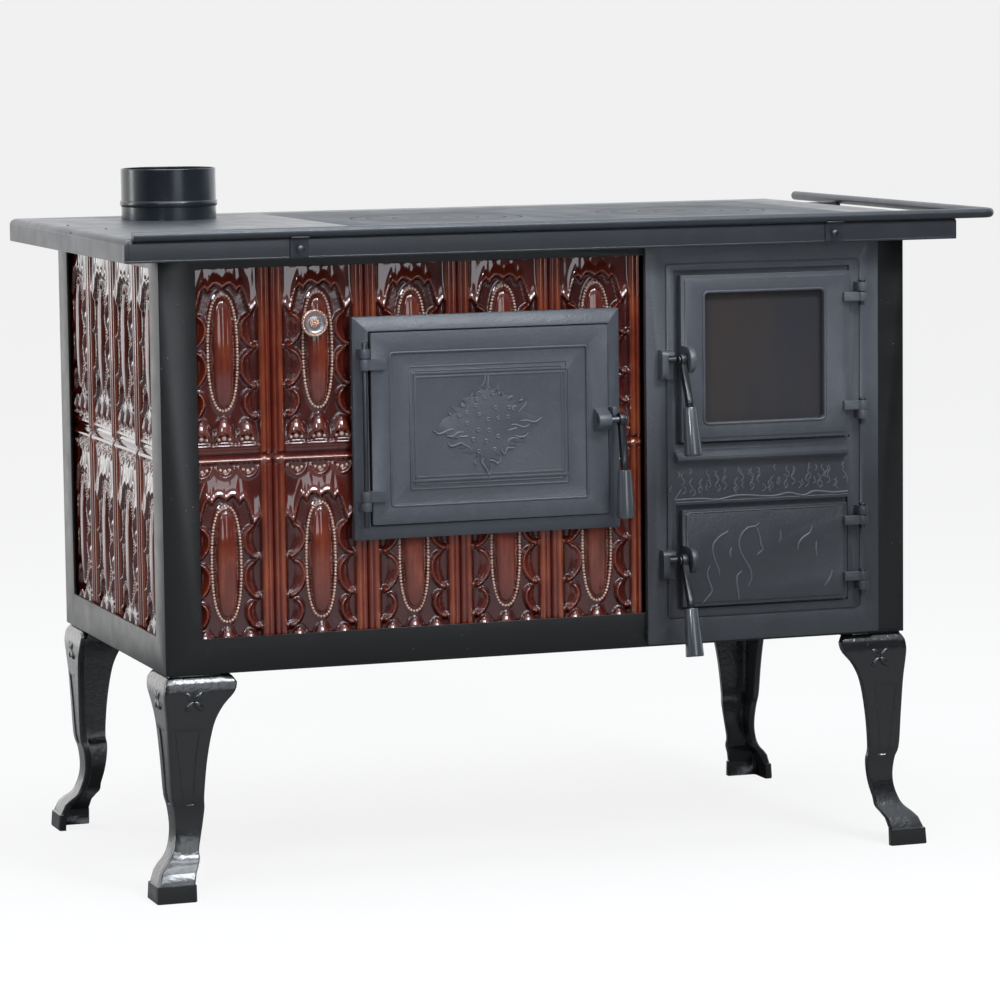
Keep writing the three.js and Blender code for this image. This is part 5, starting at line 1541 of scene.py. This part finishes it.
# The studio: how bright the floor and the sky are to each kind of ray; a span is (from, to, dim, bright).
FLOOR_RISE = ((1600, 500), (1100, 1200), (600, 2200), (0, 16000))  # steps of the sweep behind the stove
FLOOR_SEEN_BY_LIGHT = (0.34, 0.34, 0.34)
FLOOR_GLOW = 0.86
MIRRORED_GLOW = 1.35
SOFT_SKY = 0.15
SKY_BEHIND = (-0.4, 0.35, 0.1, 1.4)
SKY_ABOVE = (0.25, 0.75, 0.1, 1.1)
COOL = (0.88, 0.94, 1.0)
AIM = Vector((0, 0, 0.45))
# name, setting, place and sizes in metres
LIGHTS = (
    ("key_light", "key", (0.9, -3.0, 3.3), (0.9, 0.9)),
    ("left_strip", "side", (-3.4, 1.6, 1.4), (0.7, 2.2)),
    ("spark_light", "spark", (-2.5, -3.3, 2.5), (0.35, 0.7)),
    ("front_screen", "front", (0.2, -3.6, 1.25), (1.4, 1.6)),
    ("top_light", "top", (-0.2, -0.3, 3.4), (2.6, 1.8)),
    ("shine_panel", "shine", (-0.4, -2.7, 3.0), (2.2, 0.9)),
)
# The camera of the photograph: turn, dip and roll in degrees, place in millimetres, lens in millimetres.
CAMERA_ANGLES = (19.03, 6.39, -0.69)
CAMERA_PLACE = (-1242.4, -4812.6, 1026.6)
CAMERA_LENS = 153.43


class COOKSTOVE_OT_stage(bpy.types.Operator):
    """Set the floor, the studio lights and the camera"""

    bl_idname = "cookstove.stage"
    bl_label = "Stage"

    def execute(self, context):
        studio = context.scene.cookstove_studio
        self.floor(studio)
        self.world(context)
        self.lights(studio)
        self.camera(context)
        context.scene.view_settings.view_transform = "Standard"
        return {"FINISHED"}

    def floor(self, studio):
        let_go()
        bpy.ops.mesh.primitive_plane_add(size=30)
        floor = named("studio_floor")
        edit(floor)
        select_edges(floor, lambda edge: all(v.co.y > 14 for v in edge.verts))
        for run, lift in FLOOR_RISE:
            extrude(0, run, lift)
        done()
        bpy.ops.object.shade_smooth()
        paper = Finish("studio_paper")
        shade = paper.remap(paper.speckle(0.6, 2), 0.3, 0.7, 0, 0.05)
        path = paper.node("ShaderNodeLightPath").outputs
        tone = paper.mix(shade, tuple(studio.floor), (0.8, 0.8, 0.8))
        paper.colour(paper.mix(path["Is Camera Ray"], FLOOR_SEEN_BY_LIGHT, tone))
        paper.set(Roughness=0.95, Specular_IOR_Level=0.1)
        glow = paper.node("ShaderNodeEmission", Strength=1.0)
        paper.link(paper.remap(path["Is Glossy Ray"], 0, 1, 1, MIRRORED_GLOW), glow.inputs["Strength"])
        seen = paper.maths("MULTIPLY", path["Is Camera Ray"], FLOOR_GLOW)
        behind = paper.remap(paper.split(paper.place)["Y"], 0.6, 2.6, 0, 1)
        mirrored = paper.maths("MAXIMUM", path["Is Glossy Ray"], path["Is Transmission Ray"])
        share = paper.maths("MAXIMUM", seen, paper.maths("MULTIPLY", mirrored, behind))
        paper.show(paper.choose(share, paper.shader, glow))
        floor.data.materials.append(paper.material)

    def world(self, context):
        world = bpy.data.worlds.new("studio")
        context.scene.world = world
        world.use_nodes = True
        sky = Nodes(world.node_tree)
        way = sky.split(sky.node("ShaderNodeTexCoord").outputs["Generated"])
        behind = sky.remap(way["Y"], *SKY_BEHIND)
        above = sky.remap(way["Z"], *SKY_ABOVE)
        soft = sky.tree.nodes["Background"]
        soft.inputs["Color"].default_value = (0.94, 0.97, 1, 1)
        soft.inputs["Strength"].default_value = SOFT_SKY
        shiny = sky.node("ShaderNodeBackground", Color=(*COOL, 1))
        sky.link(sky.maths("MAXIMUM", behind, above), shiny.inputs["Strength"])
        path = sky.node("ShaderNodeLightPath").outputs
        seen = sky.choose(path["Is Glossy Ray"], soft, shiny)
        sky.show(sky.choose(path["Is Camera Ray"], seen, sky.node("ShaderNodeBackground")))

    def lights(self, studio):
        for name, setting, place, (wide, tall) in LIGHTS:
            let_go()
            bpy.ops.object.light_add(type="AREA", location=place)
            lamp = bpy.context.object
            lamp.name = name
            lamp.data.energy = getattr(studio, setting)
            lamp.data.shape = "RECTANGLE"
            lamp.data.size = wide
            lamp.data.size_y = tall
            if name != "left_strip":
                lamp.data.color = COOL
            lamp.visible_diffuse = name != "shine_panel"
            lamp.rotation_euler = (AIM - Vector(place)).to_track_quat("-Z", "Y").to_euler()

    def camera(self, context):
        turn, dip, roll = (math.radians(a) for a in CAMERA_ANGLES)
        ahead = Vector((math.sin(turn) * math.cos(dip), math.cos(turn) * math.cos(dip), -math.sin(dip)))
        right = Vector((math.cos(turn), -math.sin(turn), 0))
        up = right.cross(ahead)
        across = math.cos(roll) * right + math.sin(roll) * up
        high = -math.sin(roll) * right + math.cos(roll) * up
        let_go()
        bpy.ops.object.camera_add()
        camera = bpy.context.object
        camera.name = "studio_camera"
        matrix = Matrix((across, high, -ahead)).transposed().to_4x4()
        matrix.translation = at(*CAMERA_PLACE) * MM
        camera.matrix_world = matrix
        camera.data.sensor_width = 36
        camera.data.lens = CAMERA_LENS
        camera.data.clip_end = 100
        context.scene.camera = camera


# ------------------------------------------------------------------ sidebar
class COOKSTOVE_PT_sidebar(bpy.types.Panel):
    """Shows the cookstove's settings and a button for each of its operators"""

    bl_label = "Cookstove"
    bl_idname = "COOKSTOVE_PT_sidebar"
    bl_space_type = "VIEW_3D"
    bl_region_type = "UI"
    bl_category = "Cookstove"

    def draw(self, context):
        for group in ("cookstove_tiles", "cookstove_colours", "cookstove_studio"):
            settings = getattr(context.scene, group)
            box = self.layout.box()
            for key in settings.__annotations__:
                box.prop(settings, key)
        for operator in OPERATORS:
            self.layout.operator(operator.bl_idname)


GROUPS = {
    "cookstove_tiles": CookstoveTiles,
    "cookstove_colours": CookstoveColours,
    "cookstove_studio": CookstoveStudio,
}
OPERATORS = [
    COOKSTOVE_OT_finishes,
    COOKSTOVE_OT_tiles,
    COOKSTOVE_OT_castings,
    COOKSTOVE_OT_legs,
    COOKSTOVE_OT_hob,
    COOKSTOVE_OT_tray_details,
    COOKSTOVE_OT_flue,
    COOKSTOVE_OT_rail,
    COOKSTOVE_OT_knob,
    COOKSTOVE_OT_handles,
    COOKSTOVE_OT_stage,
]
CLASSES = [*GROUPS.values(), *OPERATORS, COOKSTOVE_PT_sidebar]


def register():
    for kind in CLASSES:
        bpy.utils.register_class(kind)
    for name, kind in GROUPS.items():
        setattr(bpy.types.Scene, name, bpy.props.PointerProperty(type=kind))


def unregister():
    for name in GROUPS:
        delattr(bpy.types.Scene, name)
    for kind in reversed(CLASSES):
        bpy.utils.unregister_class(kind)


def main():
    register()
    for operator in OPERATORS:
        group, name = operator.bl_idname.split(".")
        getattr(getattr(bpy.ops, group), name)()


if __name__ == "__main__":
    main()
